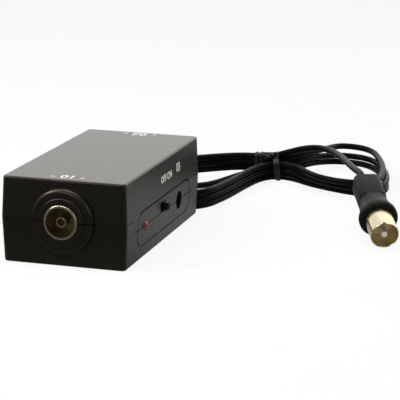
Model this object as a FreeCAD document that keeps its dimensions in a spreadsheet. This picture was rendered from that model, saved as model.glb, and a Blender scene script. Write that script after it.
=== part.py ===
import FreeCAD, Part
import math
import os
import Sketcher

# Aerial amplifier box with a tied coaxial lead.
# Origin: middle of the case's underside. +X is the side with the switch, +Y the rear, +Z up.

V = FreeCAD.Vector
ALONG_X = FreeCAD.Rotation(V(0, 1, 0), 90)
ALONG_Y = FreeCAD.Rotation(V(1, 0, 0), -90)

doc = FreeCAD.newDocument("aerial_amplifier")
dims = doc.addObject("Spreadsheet::Sheet", "dims")

sizes = [
    # case
    ("case_length", 81, "case, front face to rear face at the parting line"),
    ("case_width", 42, "case, left face to right face at the parting line"),
    ("case_height", 28, "case, underside to top"),
    ("parting_height", 14.85, "parting line above the underside"),
    ("case_wall", 2, "wall of both shells"),
    ("draft_angle", 2.2, "mould draft of the side faces, in degrees"),
    ("case_corner", 1.6, "radius of the upright corners"),
    ("case_edge", 0.7, "radius of the top and bottom edges"),
    ("seam_width", 0.3, "open line between the shells"),
    ("seam_depth", 0.35, "depth of that line"),
    ("side_seam_drop", 4.35, "how far the seam steps down in the right face"),
    ("side_seam_length", 62, "length of the stepped-down seam"),
    ("side_seam_run", 3.2, "length of each slope of the step"),
    ("panel_length", 57.2, "control panel outlined by the groove"),
    ("panel_rise", 5.3, "panel's top edge above the stepped-down seam"),
    ("panel_fall", 6.2, "panel's bottom edge below that seam"),
    ("panel_corner", 4.6, "radius of the panel's corners"),
    ("groove_width", 0.5, "groove round the panel"),
    ("groove_depth", 0.75, "groove floor, from the plane of the parting line"),
    ("fit_gap", 0.15, "clearance of a seated piece"),
    ("post_inset_x", 6.6, "screw posts, from the right and left faces"),
    ("post_inset_y", 6.5, "screw posts, from the front and rear faces"),
    ("post_radius", 3, "posts of the top shell"),
    ("post_height", 9, "height at which the posts meet"),
    ("screw_radius", 1.3, "case screw shank"),
    ("screw_head_radius", 2.4, "case screw head"),
    ("screw_head_height", 1.6, "case screw head"),
    ("screw_recess", 2.6, "depth of the head's recess in the underside"),
    ("screw_reach", 9, "thread that runs into the top shell's post"),
    ("lip_height", 1.2, "locating lip of the bottom shell"),
    ("lip_thickness", 0.8, "locating lip of the bottom shell"),
    ("lip_length", 48, "locating lip along the left wall"),
    # aerial socket in the front
    ("boss_radius", 10.6, "rounded boss round the socket"),
    ("boss_stand_out", 1.5, "boss, out of the front face"),
    ("boss_round", 1.3, "rounding of the boss's rim"),
    ("collar_radius", 7.7, "collar inside the boss"),
    ("collar_stand_out", 2.1, "collar, out of the front face"),
    ("collar_round", 0.4, "rounding of the collar's rim"),
    ("sleeve_radius", 5.6, "outer radius of the socket's sleeve"),
    ("sleeve_bore", 4.8, "bore radius of the sleeve"),
    ("sleeve_stand_out", 2.4, "sleeve, out of the front face"),
    ("sleeve_length", 16, "sleeve, rim to back"),
    ("contact_radius", 1.7, "outer radius of the centre contact"),
    ("contact_bore", 1.2, "bore radius of the centre contact"),
    ("contact_recess", 1.0, "centre contact's mouth behind the sleeve's rim"),
    ("contact_slit", 0.35, "slits in the centre contact"),
    ("insulator_length", 4, "disc that carries the centre contact"),
    ("lug_thickness", 0.6, "earth lugs under the sleeve"),
    ("lug_foot", 1.5, "width of a lug's foot"),
    ("lug_foot_height", 3, "height of a lug's foot"),
    ("lug_bar_lift", 2, "bar of the lugs above the board"),
    # circuit board
    ("board_height", 4.6, "top of the board above the underside"),
    ("board_thickness", 1.2, "board"),
    ("board_length", 58, "board"),
    ("board_side_gap", 4, "board, from the right and left faces"),
    ("pillar_radius", 2, "pillars under the board"),
    ("pillar_inset", 3, "pillars, from the board's edges"),
    ("board_screw_radius", 0.9, "board screw shank"),
    ("board_screw_head", 1.8, "board screw head"),
    # switch
    ("switch_station", -1.6, "middle of the switch window, along Y"),
    ("knob_length", 2.8, "knob, along its travel"),
    ("knob_height", 2.9, "knob"),
    ("knob_stand_out", 1.6, "knob, out of the side face"),
    ("knob_travel", 2.2, "knob travel between OFF and ON"),
    ("knob_clearance", 0.3, "window clearance round the knob"),
    ("slider_overlap", 1.0, "slider plate beyond the knob, each way along Y"),
    ("slider_thickness", 1.1, "slider plate"),
    ("switch_length", 12, "switch frame along Y"),
    ("switch_height", 6, "switch frame"),
    ("switch_depth", 4.6, "switch frame, into the case"),
    ("switch_sheet", 0.4, "sheet of the switch frame"),
    ("switch_base_depth", 1.3, "contact base"),
    ("terminal_width", 0.8, "switch terminals"),
    ("terminal_pitch", 3, "switch terminals"),
    # pilot light
    ("led_station", -20.6, "pilot light, along Y"),
    ("led_radius", 1.5, "pilot light"),
    ("led_stand_out", 0.7, "dome, out of the side face"),
    ("led_length", 5.4, "dome's tip to flange's back"),
    ("led_flange", 0.4, "flange beyond the lens"),
    ("led_flange_thickness", 1.0, "flange"),
    ("wire_thickness", 0.5, "component leads"),
    ("led_lead_pitch", 1.9, "pilot light's two leads"),
    ("led_lead_run", 2.0, "leads before they bend down"),
    # supply socket
    ("jack_station", 16.3, "supply socket, along Y"),
    ("jack_height", 10.35, "axis of the supply socket above the underside"),
    ("jack_hole", 3.1, "hole radius in the case"),
    ("jack_width", 9, "housing along Y"),
    ("jack_back_gap", 0.75, "housing's back to the foot of the lead's saddle"),
    ("jack_cover", 4, "housing above the axis"),
    ("jack_bore", 2.85, "bore radius of the housing"),
    ("jack_bore_depth", 9.5, "bore of the housing"),
    ("jack_pin_radius", 1.0, "centre pin"),
    ("jack_pin_seat", 0.8, "radius of the centre pin in the housing's back"),
    ("jack_pin_recess", 0.8, "centre pin's tip behind the housing's face"),
    ("jack_spring_width", 2.2, "side contact"),
    ("jack_spring_thickness", 0.4, "side contact"),
    # components on the board
    ("can_length", 17, "screening can along Y"),
    ("can_width", 21, "screening can along X"),
    ("can_edge_gap", 1.5, "screening can, from the board's left edge"),
    ("can_height", 6.2, "screening can"),
    ("can_sheet", 0.4, "screening can"),
    ("can_station", -15, "screening can, along Y"),
    ("transistor_radius", 1.2, "plastic transistor bodies"),
    ("transistor_height", 2.4, "plastic transistor bodies"),
    ("transistor_pitch", 7, "gain stages inside the can"),
    ("capacitor_radius", 1.9, "ceramic discs"),
    ("capacitor_thickness", 1.6, "ceramic discs"),
    ("capacitor_pitch", 4.2, "ceramic discs in their row"),
    ("resistor_radius", 0.9, "resistor bodies"),
    ("resistor_length", 4.4, "resistor bodies"),
    ("resistor_pitch", 3.2, "resistors in their row"),
    ("choke_radius", 1.3, "moulded chokes"),
    ("choke_length", 6.2, "moulded chokes"),
    ("choke_pitch", 3.2, "moulded chokes"),
    ("core_length", 6, "two-hole ferrite core"),
    ("core_width", 7, "two-hole ferrite core"),
    ("core_height", 4, "two-hole ferrite core"),
    ("core_hole", 0.9, "hole radius of the core"),
    ("smoothing_radius", 3.15, "electrolytic capacitor"),
    ("smoothing_height", 11, "electrolytic capacitor"),
    ("smoothing_edge_gap", 6.5, "electrolytic capacitor, from the board's left edge"),
    ("smoothing_y", 22, "electrolytic capacitor"),
    ("regulator_radius", 2.3, "voltage regulator"),
    ("regulator_height", 4.6, "voltage regulator"),
    ("regulator_x", 5.2, "voltage regulator"),
    ("regulator_y", 7, "voltage regulator"),
    ("disc_x", -7, "row of ceramic discs"),
    ("disc_y", 2.6, "row of ceramic discs"),
    ("resistor_x", -13.2, "row of resistors, their outer ends"),
    ("resistor_y", 2, "row of resistors"),
    ("choke_x", -11.4, "moulded chokes, their outer ends"),
    ("choke_y", 15, "moulded chokes"),
    ("core_x", -0.5, "two-hole ferrite core"),
    ("core_y", 0, "two-hole ferrite core"),
    # lead
    ("cord_radius", 1.2, "coaxial lead"),
    ("core_radius", 0.75, "dielectric of the lead"),
    ("core_bare", 3.5, "stripped length at the board"),
    ("relief_flange", 4.3, "relief flange inside the case"),
    ("relief_flange_thickness", 1.6, "relief flange inside the case"),
    ("relief_neck", 3, "relief neck through the wall"),
    ("relief_root", 3.4, "relief cone at the case"),
    ("relief_tip", 2.0, "relief cone at its end"),
    ("relief_length", 10, "relief cone"),
    ("clamp_width", 2.4, "saddle over the lead on the board"),
    ("clamp_wall", 1.0, "saddle over the lead on the board"),
    ("clamp_foot", 2.2, "feet of the saddle"),
    ("clamp_station", 13.5, "saddle, along Y"),
    ("tail_flat", 5.6, "straight run behind the saddle"),
    ("tail_level", 6.5, "straight run before the rear wall's outer face"),
    ("tail_bend", 5.8, "length of each bend between them"),
    ("tail_bend_rise", 2.3, "rise of each bend"),
    # hank
    ("loop_count", 3, "loops of the hank"),
    ("loop_gap", 0.48, "gap between turns that lie on each other"),
    ("climb_share", 0.45, "share of a layer that a loop has climbed on the left lobe's rear side"),
    ("waist_gap", 0.9, "gap between the two columns at the waist"),
    ("waist_x", 35.5, "waist of the hank"),
    ("waist_y", 101.6, "waist of the hank"),
    ("waist_heading", 14, "direction of the waist, in degrees from +X"),
    ("waist_left", 9, "straight part of the rear column, left of the waist"),
    ("waist_left_front", 1.4, "straight part of the front column, left of the waist"),
    ("waist_right", 1.4, "straight part of both columns, right of the waist"),
    # wire tie
    ("tie_thickness", 0.4, "plastic-coated ribbon of the tie"),
    ("tie_width", 2.6, "plastic-coated ribbon of the tie"),
    ("tie_gap", 0.1, "between the ribbon and the lead"),
    ("tie_left", 7.2, "first turn of the tie, left of the waist"),
    ("tie_twist_radius", 1.1, "twisted ends"),
    ("tie_twist_length", 5.5, "twisted ends"),
    # plug
    ("plug_tip_x", 92.9, "middle of the plug's mouth"),
    ("plug_tip_y", 13.2, "middle of the plug's mouth"),
    ("plug_heading", 22.5, "plug, turned from +Y towards -X, in degrees"),
    ("plug_tilt", 16.8, "plug, rear end raised, in degrees"),
    ("shell_radius", 4.76, "outer contact of the plug"),
    ("shell_wall", 0.4, "outer contact of the plug"),
    ("shell_length", 9.5, "outer contact, out of the body"),
    ("shell_seat", 3, "outer contact, inside the body"),
    ("shell_slit", 0.5, "slits of the outer contact"),
    ("shell_slit_length", 7, "slits of the outer contact"),
    ("pin_radius", 1.2, "centre pin"),
    ("pin_seat", 0.95, "radius of the centre pin from its disc on"),
    ("pin_recess", 0.4, "centre pin's tip behind the mouth"),
    ("plug_disc", 1.6, "insulating disc of the plug"),
    ("flange_radius", 6.6, "flange of the plug's body"),
    ("flange_length", 3.4, "flange of the plug's body"),
    ("flange_round", 1.3, "rounding of the flange"),
    ("neck_radius", 4.3, "neck of the plug's body"),
    ("neck_length", 7.6, "neck, flange to grip"),
    ("neck_shoulder", 0.22, "share of the neck where it has narrowed most of the way"),
    ("neck_end", 0.6, "share of the neck where it is at its narrowest"),
    ("grip_length", 13.5, "grip block of the plug's body"),
    ("grip_width", 9.4, "grip block"),
    ("grip_height", 8.8, "grip block"),
    ("grip_round", 1.6, "rounding of the grip block"),
    ("ferrule_radius", 2.1, "crimp inside the plug's body"),
    ("ferrule_wall", 0.5, "crimp inside the plug's body"),
    ("ferrule_length", 7, "crimp inside the plug's body"),
    ("ferrule_setback", 5.5, "crimp, behind the outer contact's seat"),
]

for row, (alias, value, note) in enumerate(sizes, start=1):
    dims.set(f"A{row}", note)
    dims.set(f"B{row}", str(value))
    dims.setAlias(f"B{row}", alias)
doc.recompute()


def size(alias):
    return float(dims.get(alias))


pieces = []


def piece(obj):
    pieces.append(obj)
    return obj


# Primitives whose sizes and places are expressions of the sheet


def bind(obj, place, **expressions):
    for prop, text in expressions.items():
        obj.setExpression(prop, str(text))
    for axis, text in zip("xyz", place):
        obj.setExpression(f"Placement.Base.{axis}", str(text))
    return obj


def box(name, middle_x, middle_y, low_z, length_x, length_y, height):
    obj = doc.addObject("Part::Box", name)
    place = (f"{middle_x} - ({length_x})/2", f"{middle_y} - ({length_y})/2", low_z)
    return bind(obj, place, Length=length_x, Width=length_y, Height=height)


def slab(name, low_x, low_y, low_z, length_x, length_y, height):
    obj = doc.addObject("Part::Box", name)
    return bind(obj, (low_x, low_y, low_z), Length=length_x, Width=length_y, Height=height)


def rod(name, radius, length, x, y, z, turn=None):
    obj = doc.addObject("Part::Cylinder", name)
    if turn:
        obj.Placement = FreeCAD.Placement(V(), turn)
    return bind(obj, (x, y, z), Radius=radius, Height=length)


def join(name, *parts):
    obj = doc.addObject("Part::MultiFuse", name)
    obj.Shapes = list(parts)
    obj.Refine = True
    return obj


def cut(name, base, *tools):
    obj = doc.addObject("Part::Cut", name)
    obj.Base = base
    obj.Tool = tools[0] if len(tools) == 1 else join(name + "_tools", *tools)
    obj.Refine = True
    return obj


def common(name, base, tool):
    obj = doc.addObject("Part::Common", name)
    obj.Base = base
    obj.Tool = tool
    obj.Refine = True
    return obj


# Bodies from sketches


def origin_plane(body, role):
    return next(item for item in body.Origin.OriginFeatures if item.Role == role)


def sketch_on(body, role, right="0", up="0", out="0"):
    sketch = body.newObject("Sketcher::SketchObject", body.Name + "_sketch")
    sketch.AttachmentSupport = (origin_plane(body, role), [""])
    sketch.MapMode = "FlatFace"
    for axis, text in zip("xyz", (right, up, out)):
        sketch.setExpression(f"AttachmentOffset.Base.{axis}", str(text))
    return sketch


def draw_outline(sketch, corners):
    """Closed outline whose corners are pairs of expressions."""
    count = len(corners)
    turn = 2 * math.pi / count
    rough = [V(10 * math.cos(turn * k), 10 * math.sin(turn * k), 0) for k in range(count)]
    for k in range(count):
        sketch.addGeometry(Part.LineSegment(rough[k], rough[(k + 1) % count]), False)
    for k in range(count):
        sketch.addConstraint(Sketcher.Constraint("Coincident", k, 2, (k + 1) % count, 1))
    for k, (right, up) in enumerate(corners):
        for kind, start, text in (("DistanceX", rough[k].x, right), ("DistanceY", rough[k].y, up)):
            index = sketch.addConstraint(Sketcher.Constraint(kind, -1, 1, k, 1, start))
            sketch.setExpression(f"Constraints[{index}]", str(text))


def rectangle(half_right, half_up):
    return [
        (f"-({half_right})", f"-({half_up})"),
        (f"{half_right}", f"-({half_up})"),
        (f"{half_right}", f"{half_up}"),
        (f"-({half_right})", f"{half_up}"),
    ]


def edges_where(feature, test):
    doc.recompute()
    return [f"Edge{k + 1}" for k, edge in enumerate(feature.Shape.Edges) if test(edge)]


def round_edges(body, base, radius, test):
    fillet = body.newObject("PartDesign::Fillet", f"{body.Name}_round")
    fillet.Base = (base, edges_where(base, test))
    fillet.setExpression("Radius", radius)
    body.Tip = fillet
    return fillet


def padded(name, role, outline, length, right="0", up="0", out="0"):
    body = doc.addObject("PartDesign::Body", name)
    sketch = sketch_on(body, role, right, up, out)
    draw_outline(sketch, outline)
    pad = body.newObject("PartDesign::Pad", name + "_pad")
    pad.Profile = sketch
    pad.setExpression("Length", str(length))
    return body, pad


def turned(name, outline, along="Y", x="0", y="0", z="0"):
    """Turned body: the outline's corners are (distance along the axis, radius)."""
    body = doc.addObject("PartDesign::Body", name)
    if along == "Y":
        sketch = sketch_on(body, "YZ_Plane", y, z, x)
    else:
        sketch = sketch_on(body, "XZ_Plane", x, z, f"-({y})")
    draw_outline(sketch, outline)
    turn = body.newObject("PartDesign::Revolution", name + "_turn")
    turn.Profile = sketch
    turn.ReferenceAxis = (sketch, ["H_Axis"])
    turn.Angle = 360
    return body, turn


def ring_outline(start, end, inner, outer):
    return [(start, inner), (end, inner), (end, outer), (start, outer)]


# Driving places that several pieces share

front = "(-dims.case_length/2)"
rear = "(dims.case_length/2)"
side = "(dims.case_width/2)"
inner_side = "(dims.case_width/2 - dims.case_wall)"
draft = "tan(dims.draft_angle * 1 deg)"
board_side = f"({inner_side} - (dims.parting_height - dims.board_height)*{draft})"
side_seam = "(dims.parting_height - dims.side_seam_drop)"
post_x = "(dims.case_width/2 - dims.post_inset_x)"
post_y = "(dims.case_length/2 - dims.post_inset_y)"
board_top = "dims.board_height"
board_half = "(dims.case_width/2 - dims.board_side_gap)"
saddle_half = "(dims.cord_radius + dims.fit_gap + dims.clamp_wall)"
axis_height = "dims.parting_height"


# Case: one drafted block, hollowed, then parted along the stepped seam


def drafted_block(name, inset, corner, edge):
    body = doc.addObject("PartDesign::Body", name)
    sketch = sketch_on(body, "XY_Plane", out="dims.parting_height")
    draw_outline(sketch, rectangle(f"dims.case_width/2 - {inset}", f"dims.case_length/2 - {inset}"))
    pad = body.newObject("PartDesign::Pad", name + "_pad")
    pad.Profile = sketch
    pad.SideType = "Two sides"
    pad.setExpression("Length", f"dims.case_height - dims.parting_height - {inset}")
    pad.setExpression("Length2", f"dims.parting_height - {inset}")
    pad.setExpression("TaperAngle", "-dims.draft_angle")
    pad.setExpression("TaperAngle2", "-dims.draft_angle")
    upright = round_edges(body, pad, corner, lambda e: abs(e.tangentAt(e.FirstParameter).z) > 0.9)
    if edge:
        low = size("parting_height") / 2

        def at_top_or_bottom(e):
            box_z = e.BoundBox
            flat = box_z.ZLength < 1e-6
            return flat and abs(box_z.ZMin - size("parting_height")) > low
        round_edges(body, upright, edge, at_top_or_bottom)
    return body


block = drafted_block("case_block", "0", "dims.case_corner", "dims.case_edge")
hollow = drafted_block("case_hollow", "dims.case_wall", "0.5*dims.case_corner", None)

boss, boss_turn = turned(
    "socket_boss",
    [
        ("dims.case_wall/2", "0"),
        ("dims.case_wall/2", "dims.boss_radius"),
        ("-dims.boss_stand_out", "dims.boss_radius"),
        ("-dims.boss_stand_out", "dims.collar_radius"),
        ("-dims.collar_stand_out", "dims.collar_radius"),
        ("-dims.collar_stand_out", "0"),
    ],
    y=front,
    z=axis_height,
)
rim_y = -size("case_length") / 2


def circle_at(feature_y, radius):
    def test(e):
        at = e.BoundBox
        return (
            at.YLength < 1e-6
            and abs(at.YMin - feature_y) < 1e-4
            and abs(at.XLength / 2 - radius) < 1e-4
        )
    return test


boss_rim = round_edges(
    boss, boss_turn, "dims.boss_round", circle_at(rim_y - size("boss_stand_out"), size("boss_radius"))
)
round_edges(
    boss,
    boss_rim,
    "dims.collar_round",
    circle_at(rim_y - size("collar_stand_out"), size("collar_radius")),
)


def panel_plate(name, half):
    """Rounded plate on the right face, grown by half the groove's width either way."""
    half_length = f"(dims.panel_length/2 + {half})"
    top = f"(dims.panel_rise + {half})"
    bottom = f"(-dims.panel_fall - {half})"
    outline = [
        (f"-{half_length}", bottom),
        (half_length, bottom),
        (half_length, top),
        (f"-{half_length}", top),
    ]
    body, pad = padded(
        name,
        "YZ_Plane",
        outline,
        "dims.groove_depth + 1",
        up=side_seam,
        out=f"{side} - dims.groove_depth",
    )
    along_x = lambda e: abs(e.tangentAt(e.FirstParameter).x) > 0.9
    round_edges(body, pad, f"dims.panel_corner + {half}", along_x)
    return body


panel_groove = cut(
    "panel_groove",
    panel_plate("panel_outer", "dims.groove_width/2"),
    panel_plate("panel_inner", "(-dims.groove_width/2)"),
)


def seam_step(name, drop, low_x, depth):
    """Solid above the stepped-down seam in the right face."""
    flat = "dims.side_seam_length/2"
    outline = [
        (f"-({flat}) - dims.side_seam_run", f"dims.side_seam_drop - {drop}"),
        (f"-({flat})", f"-({drop})"),
        (flat, f"-({drop})"),
        (f"{flat} + dims.side_seam_run", f"dims.side_seam_drop - {drop}"),
        (f"{flat} + dims.side_seam_run", "dims.side_seam_drop + 1"),
        (f"-({flat}) - dims.side_seam_run", "dims.side_seam_drop + 1"),
    ]
    body, _ = padded(name, "YZ_Plane", outline, depth, up=side_seam, out=low_x)
    return body


over = "(dims.case_width + 4*dims.case_wall)"
over_y = "(dims.case_length + 4*dims.case_wall)"
above = box("above_parting", "0", "0", "dims.parting_height", over, over_y, "dims.case_height")
tongue = seam_step("tongue_space", "0", f"{inner_side} - 1", "dims.case_wall + 3")
upper_space = join("upper_space", above, tongue)

# Open line along the seam, cut into both shells from outside
line_slab = box(
    "line_slab", "0", "0", "dims.parting_height - dims.seam_width/2", over, over_y, "dims.seam_width"
)
line_core = box(
    "line_core",
    "0",
    "0",
    "dims.parting_height - dims.seam_width",
    "dims.case_width - 2*dims.seam_depth",
    "dims.case_length - 2*dims.seam_depth",
    "2*dims.seam_width",
)
line_break = slab(
    "line_break",
    f"{side} - 2*dims.seam_depth",
    "-(dims.side_seam_length/2 + dims.side_seam_run)",
    "dims.parting_height - dims.seam_width",
    "dims.case_wall",
    "dims.side_seam_length + 2*dims.side_seam_run",
    "2*dims.seam_width",
)
straight_line = cut("straight_line", line_slab, line_core, line_break)
line_depth = "dims.seam_depth + 1"
line_x = f"{side} - dims.seam_depth - 0.2"
step_line = cut(
    "step_line",
    seam_step("step_line_low", "dims.seam_width/2", line_x, line_depth),
    seam_step("step_line_high", "(-dims.seam_width/2)", f"{line_x} - 1", f"{line_depth} + 2"),
)

# Openings in the walls
through_side = "2*dims.case_wall + 1"
led_hole = rod(
    "led_hole",
    "dims.led_radius + dims.fit_gap",
    through_side,
    f"{inner_side} - 1",
    "dims.led_station",
    side_seam,
    ALONG_X,
)
jack_hole = rod(
    "jack_hole", "dims.jack_hole", through_side, f"{inner_side} - 1", "dims.jack_station", "dims.jack_height", ALONG_X
)
window_length = "(dims.knob_length + dims.knob_travel + 2*dims.knob_clearance)"
window_height = "(dims.knob_height + 2*dims.knob_clearance)"
knob_height = f"({side_seam} + {window_height}/2)"
window = slab(
    "switch_window",
    f"{inner_side} - 1",
    f"dims.switch_station - {window_length}/2",
    side_seam,
    through_side,
    window_length,
    window_height,
)
socket_hole = rod(
    "socket_hole",
    "dims.sleeve_radius + dims.fit_gap",
    "2*dims.case_wall + dims.collar_stand_out + 1",
    "0",
    f"{front} - dims.collar_stand_out - 1",
    axis_height,
    ALONG_Y,
)
relief_hole = rod(
    "relief_hole",
    "dims.relief_neck + dims.fit_gap",
    "2*dims.case_wall",
    "0",
    f"{rear} - 1.5*dims.case_wall",
    axis_height,
    ALONG_Y,
)

whole_case = cut(
    "whole_case",
    join("case_with_boss", block, boss),
    hollow,
    panel_groove,
    straight_line,
    step_line,
    led_hole,
    jack_hole,
    window,
    socket_hole,
    relief_hole,
)


# Posts and screws at the four corners
corners = [(sx, sy) for sx in (-1, 1) for sy in (-1, 1)]


def at_corners(name, radius, length, low_z):
    rods = [
        rod(f"{name}_{k}", radius, length, f"{sx}*{post_x}", f"{sy}*{post_y}", low_z)
        for k, (sx, sy) in enumerate(corners)
    ]
    return join(name, *rods)


ceiling = "(dims.case_height - dims.case_wall)"
top_posts = at_corners(
    "top_posts", "dims.post_radius", f"{ceiling} - dims.post_height + 0.5", "dims.post_height"
)
pilot_holes = at_corners(
    "pilot_holes",
    "dims.screw_radius + 0.05",
    "dims.screw_reach + 1",
    "dims.post_height",
)
bottom_posts = at_corners("bottom_posts", "dims.post_radius", "dims.post_height - 0.5", "0.5")
screw_holes = at_corners("screw_holes", "dims.screw_radius + dims.fit_gap", "dims.post_height + 2", "-1")
screw_recesses = at_corners(
    "screw_recesses", "dims.screw_head_radius + dims.fit_gap", "dims.screw_recess + 1", "-1"
)

top_half = common("top_half", whole_case, upper_space)
lip_low = "(dims.parting_height - 2*dims.lip_height)"
lip_bar = slab(
    "lip_bar",
    f"-{inner_side} + dims.fit_gap",
    "-dims.lip_length/2",
    lip_low,
    "dims.lip_thickness",
    "dims.lip_length",
    "3*dims.lip_height",
)
lip_root = slab(
    "lip_root",
    f"-{inner_side} - dims.case_wall/2",
    "-dims.lip_length/2",
    lip_low,
    "dims.case_wall/2 + dims.fit_gap + dims.lip_thickness",
    "dims.lip_length",
    "2*dims.lip_height - dims.seam_width/2",
)
top_shell = piece(
    cut("top_shell", join("top_with_posts", top_half, top_posts), pilot_holes)
)

bottom_half = cut("bottom_half", whole_case, upper_space)


def board_pillars(name, radius, low_z, length, sides):
    reach_x = f"({board_half} - dims.pillar_inset)"
    reach_y = "(dims.board_length/2 - dims.pillar_inset)"
    rods = [
        rod(f"{name}_{k}", radius, length, f"{sx}*{reach_x}", f"{sy}*{reach_y}", low_z)
        for k, (sx, sy) in enumerate(sides)
    ]
    return join(name, *rods)


board_low = "(dims.board_height - dims.board_thickness)"
pillars = board_pillars("pillars", "dims.pillar_radius", "0.5", f"{board_low} - 0.5", corners)
screwed = [(-1, -1), (-1, 1)]
screw_depth = "(dims.board_height - 0.9)"
pillar_holes = board_pillars(
    "pillar_holes", "dims.board_screw_radius + 0.05", "0.9", screw_depth, screwed
)
bottom_shell = piece(
    cut(
        "bottom_shell",
        join("bottom_with_posts", bottom_half, bottom_posts, pillars, lip_bar, lip_root),
        screw_holes,
        screw_recesses,
        pillar_holes,
    )
)

screw_seat = "dims.screw_recess"
screw_heads = at_corners(
    "screw_heads",
    "dims.screw_head_radius",
    "dims.screw_head_height",
    f"{screw_seat} - dims.screw_head_height",
)
screw_shanks = at_corners(
    "screw_shanks",
    "dims.screw_radius",
    f"dims.post_height + dims.screw_reach - {screw_seat}",
    screw_seat,
)
screw_slots = join(
    "screw_slots",
    *[
        box(
            f"screw_slot_{k}",
            f"{sx}*{post_x}",
            f"{sy}*{post_y}",
            f"{screw_seat} - dims.screw_head_height - 1",
            "1.5*dims.screw_head_radius",
            "0.6",
            "1.8",
        )
        for k, (sx, sy) in enumerate(corners)
    ],
)
case_screws = piece(cut("case_screws", join("screw_blanks", screw_heads, screw_shanks), screw_slots))


# Aerial socket

sleeve_front = f"({front} - dims.sleeve_stand_out)"
sleeve_body, sleeve_turn = turned(
    "socket_sleeve",
    ring_outline("0", "dims.sleeve_length", "dims.sleeve_bore", "dims.sleeve_radius"),
    y=sleeve_front,
    z=axis_height,
)
sleeve_y = -size("case_length") / 2 - size("sleeve_stand_out")
round_edges(
    sleeve_body, sleeve_turn, "0.3", circle_at(sleeve_y, size("sleeve_radius"))
)
piece(sleeve_body)

disc_start = "(dims.sleeve_length - dims.insulator_length)"
insulator_body, _ = turned(
    "socket_insulator",
    ring_outline(
        disc_start,
        "dims.sleeve_length",
        "dims.contact_radius + 0.02",
        "dims.sleeve_bore - 0.02",
    ),
    y=sleeve_front,
    z=axis_height,
)
piece(insulator_body)

contact_tube, _ = turned(
    "contact_tube",
    [
        ("dims.contact_recess", "dims.contact_bore"),
        (disc_start, "dims.contact_bore"),
        (disc_start, "0"),
        ("dims.sleeve_length + 2", "0"),
        ("dims.sleeve_length + 2", "dims.contact_radius"),
        ("dims.contact_recess", "dims.contact_radius"),
    ],
    y=sleeve_front,
    z=axis_height,
)
contact_slit = box(
    "contact_slit_space",
    "0",
    f"{sleeve_front} + dims.contact_recess + 2",
    f"{axis_height} - dims.contact_slit/2",
    "3*dims.contact_radius",
    "6",
    "dims.contact_slit",
)
piece(cut("socket_contact", contact_tube, contact_slit))

lug_y = f"({sleeve_front} + dims.sleeve_length - 2*dims.lug_thickness)"
lug_feet = join(
    "lug_feet",
    *[
        box(
            f"lug_foot_{k}",
            f"{k}*0.8*dims.sleeve_radius",
            lug_y,
            board_top,
            "dims.lug_foot",
            "dims.lug_thickness",
            "dims.lug_foot_height",
        )
        for k in (-1, 1)
    ],
)
lug_bar = box(
    "lug_bar",
    "0",
    lug_y,
    f"{board_top} + dims.lug_bar_lift",
    "2*dims.sleeve_radius",
    "dims.lug_thickness",
    f"{axis_height} - dims.board_height - dims.lug_bar_lift - 0.5*dims.sleeve_radius",
)
lug_round = rod(
    "lug_round",
    "dims.sleeve_radius + 0.03",
    "4*dims.lug_thickness",
    "0",
    f"{lug_y} - 2*dims.lug_thickness",
    axis_height,
    ALONG_Y,
)
piece(cut("socket_lugs", join("lug_blank", lug_feet, lug_bar), lug_round))


# Circuit board and what sits on it

board_blank, _ = padded(
    "board_blank",
    "XY_Plane",
    rectangle(board_half, "dims.board_length/2"),
    "dims.board_thickness",
    out=board_low,
)
board_holes = board_pillars(
    "board_holes", "dims.board_screw_radius + dims.fit_gap", board_low, "2*dims.board_thickness", screwed
)
piece(cut("circuit_board", board_blank, board_holes))

board_screw_heads = board_pillars("board_screw_heads", "dims.board_screw_head", board_top, "1.1", screwed)
board_screw_shanks = board_pillars(
    "board_screw_shanks", "dims.board_screw_radius", "1.2", f"{board_top} - 1", screwed
)
piece(join("board_screws", board_screw_heads, board_screw_shanks))

can_x = f"(-{board_half} + dims.can_edge_gap + dims.can_width/2)"
can_outer = box(
    "can_outer",
    can_x,
    "dims.can_station",
    board_top,
    "dims.can_width",
    "dims.can_length",
    "dims.can_height",
)
can_inner = box(
    "can_inner",
    can_x,
    "dims.can_station",
    f"{board_top} - 1",
    "dims.can_width - 2*dims.can_sheet",
    "dims.can_length - 2*dims.can_sheet",
    "dims.can_height + 1 - dims.can_sheet",
)
piece(cut("shield_can", can_outer, can_inner))

piece(
    join(
        "amplifier_transistors",
        *[
            rod(
                f"transistor_{k}",
                "dims.transistor_radius",
                "dims.transistor_height",
                f"{can_x} + {k}*dims.transistor_pitch/2",
                "dims.can_station",
                board_top,
            )
            for k in (-1, 1)
        ],
    )
)


def row(name, count, pitch, middle_y, make):
    """Row of like components along Y, as one node of separate solids."""
    stations = [f"({middle_y} + {k - (count - 1) / 2}*{pitch})" for k in range(count)]
    return piece(join(name, *[make(f"{name}_{k}", y) for k, y in enumerate(stations)]))


row(
    "ceramic_capacitors",
    4,
    "dims.capacitor_pitch",
    "dims.disc_y",
    lambda name, y: rod(
        name,
        "dims.capacitor_radius",
        "dims.capacitor_thickness",
        "dims.disc_x",
        y,
        f"{board_top} + dims.capacitor_radius",
        ALONG_X,
    ),
)
row(
    "resistors",
    5,
    "dims.resistor_pitch",
    "dims.resistor_y",
    lambda name, y: rod(
        name,
        "dims.resistor_radius",
        "dims.resistor_length",
        "dims.resistor_x",
        y,
        f"{board_top} + dims.resistor_radius",
        ALONG_X,
    ),
)
row(
    "rf_chokes",
    2,
    "dims.choke_pitch",
    "dims.choke_y",
    lambda name, y: rod(
        name,
        "dims.choke_radius",
        "dims.choke_length",
        "dims.choke_x",
        y,
        f"{board_top} + dims.choke_radius",
        ALONG_X,
    ),
)

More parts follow.
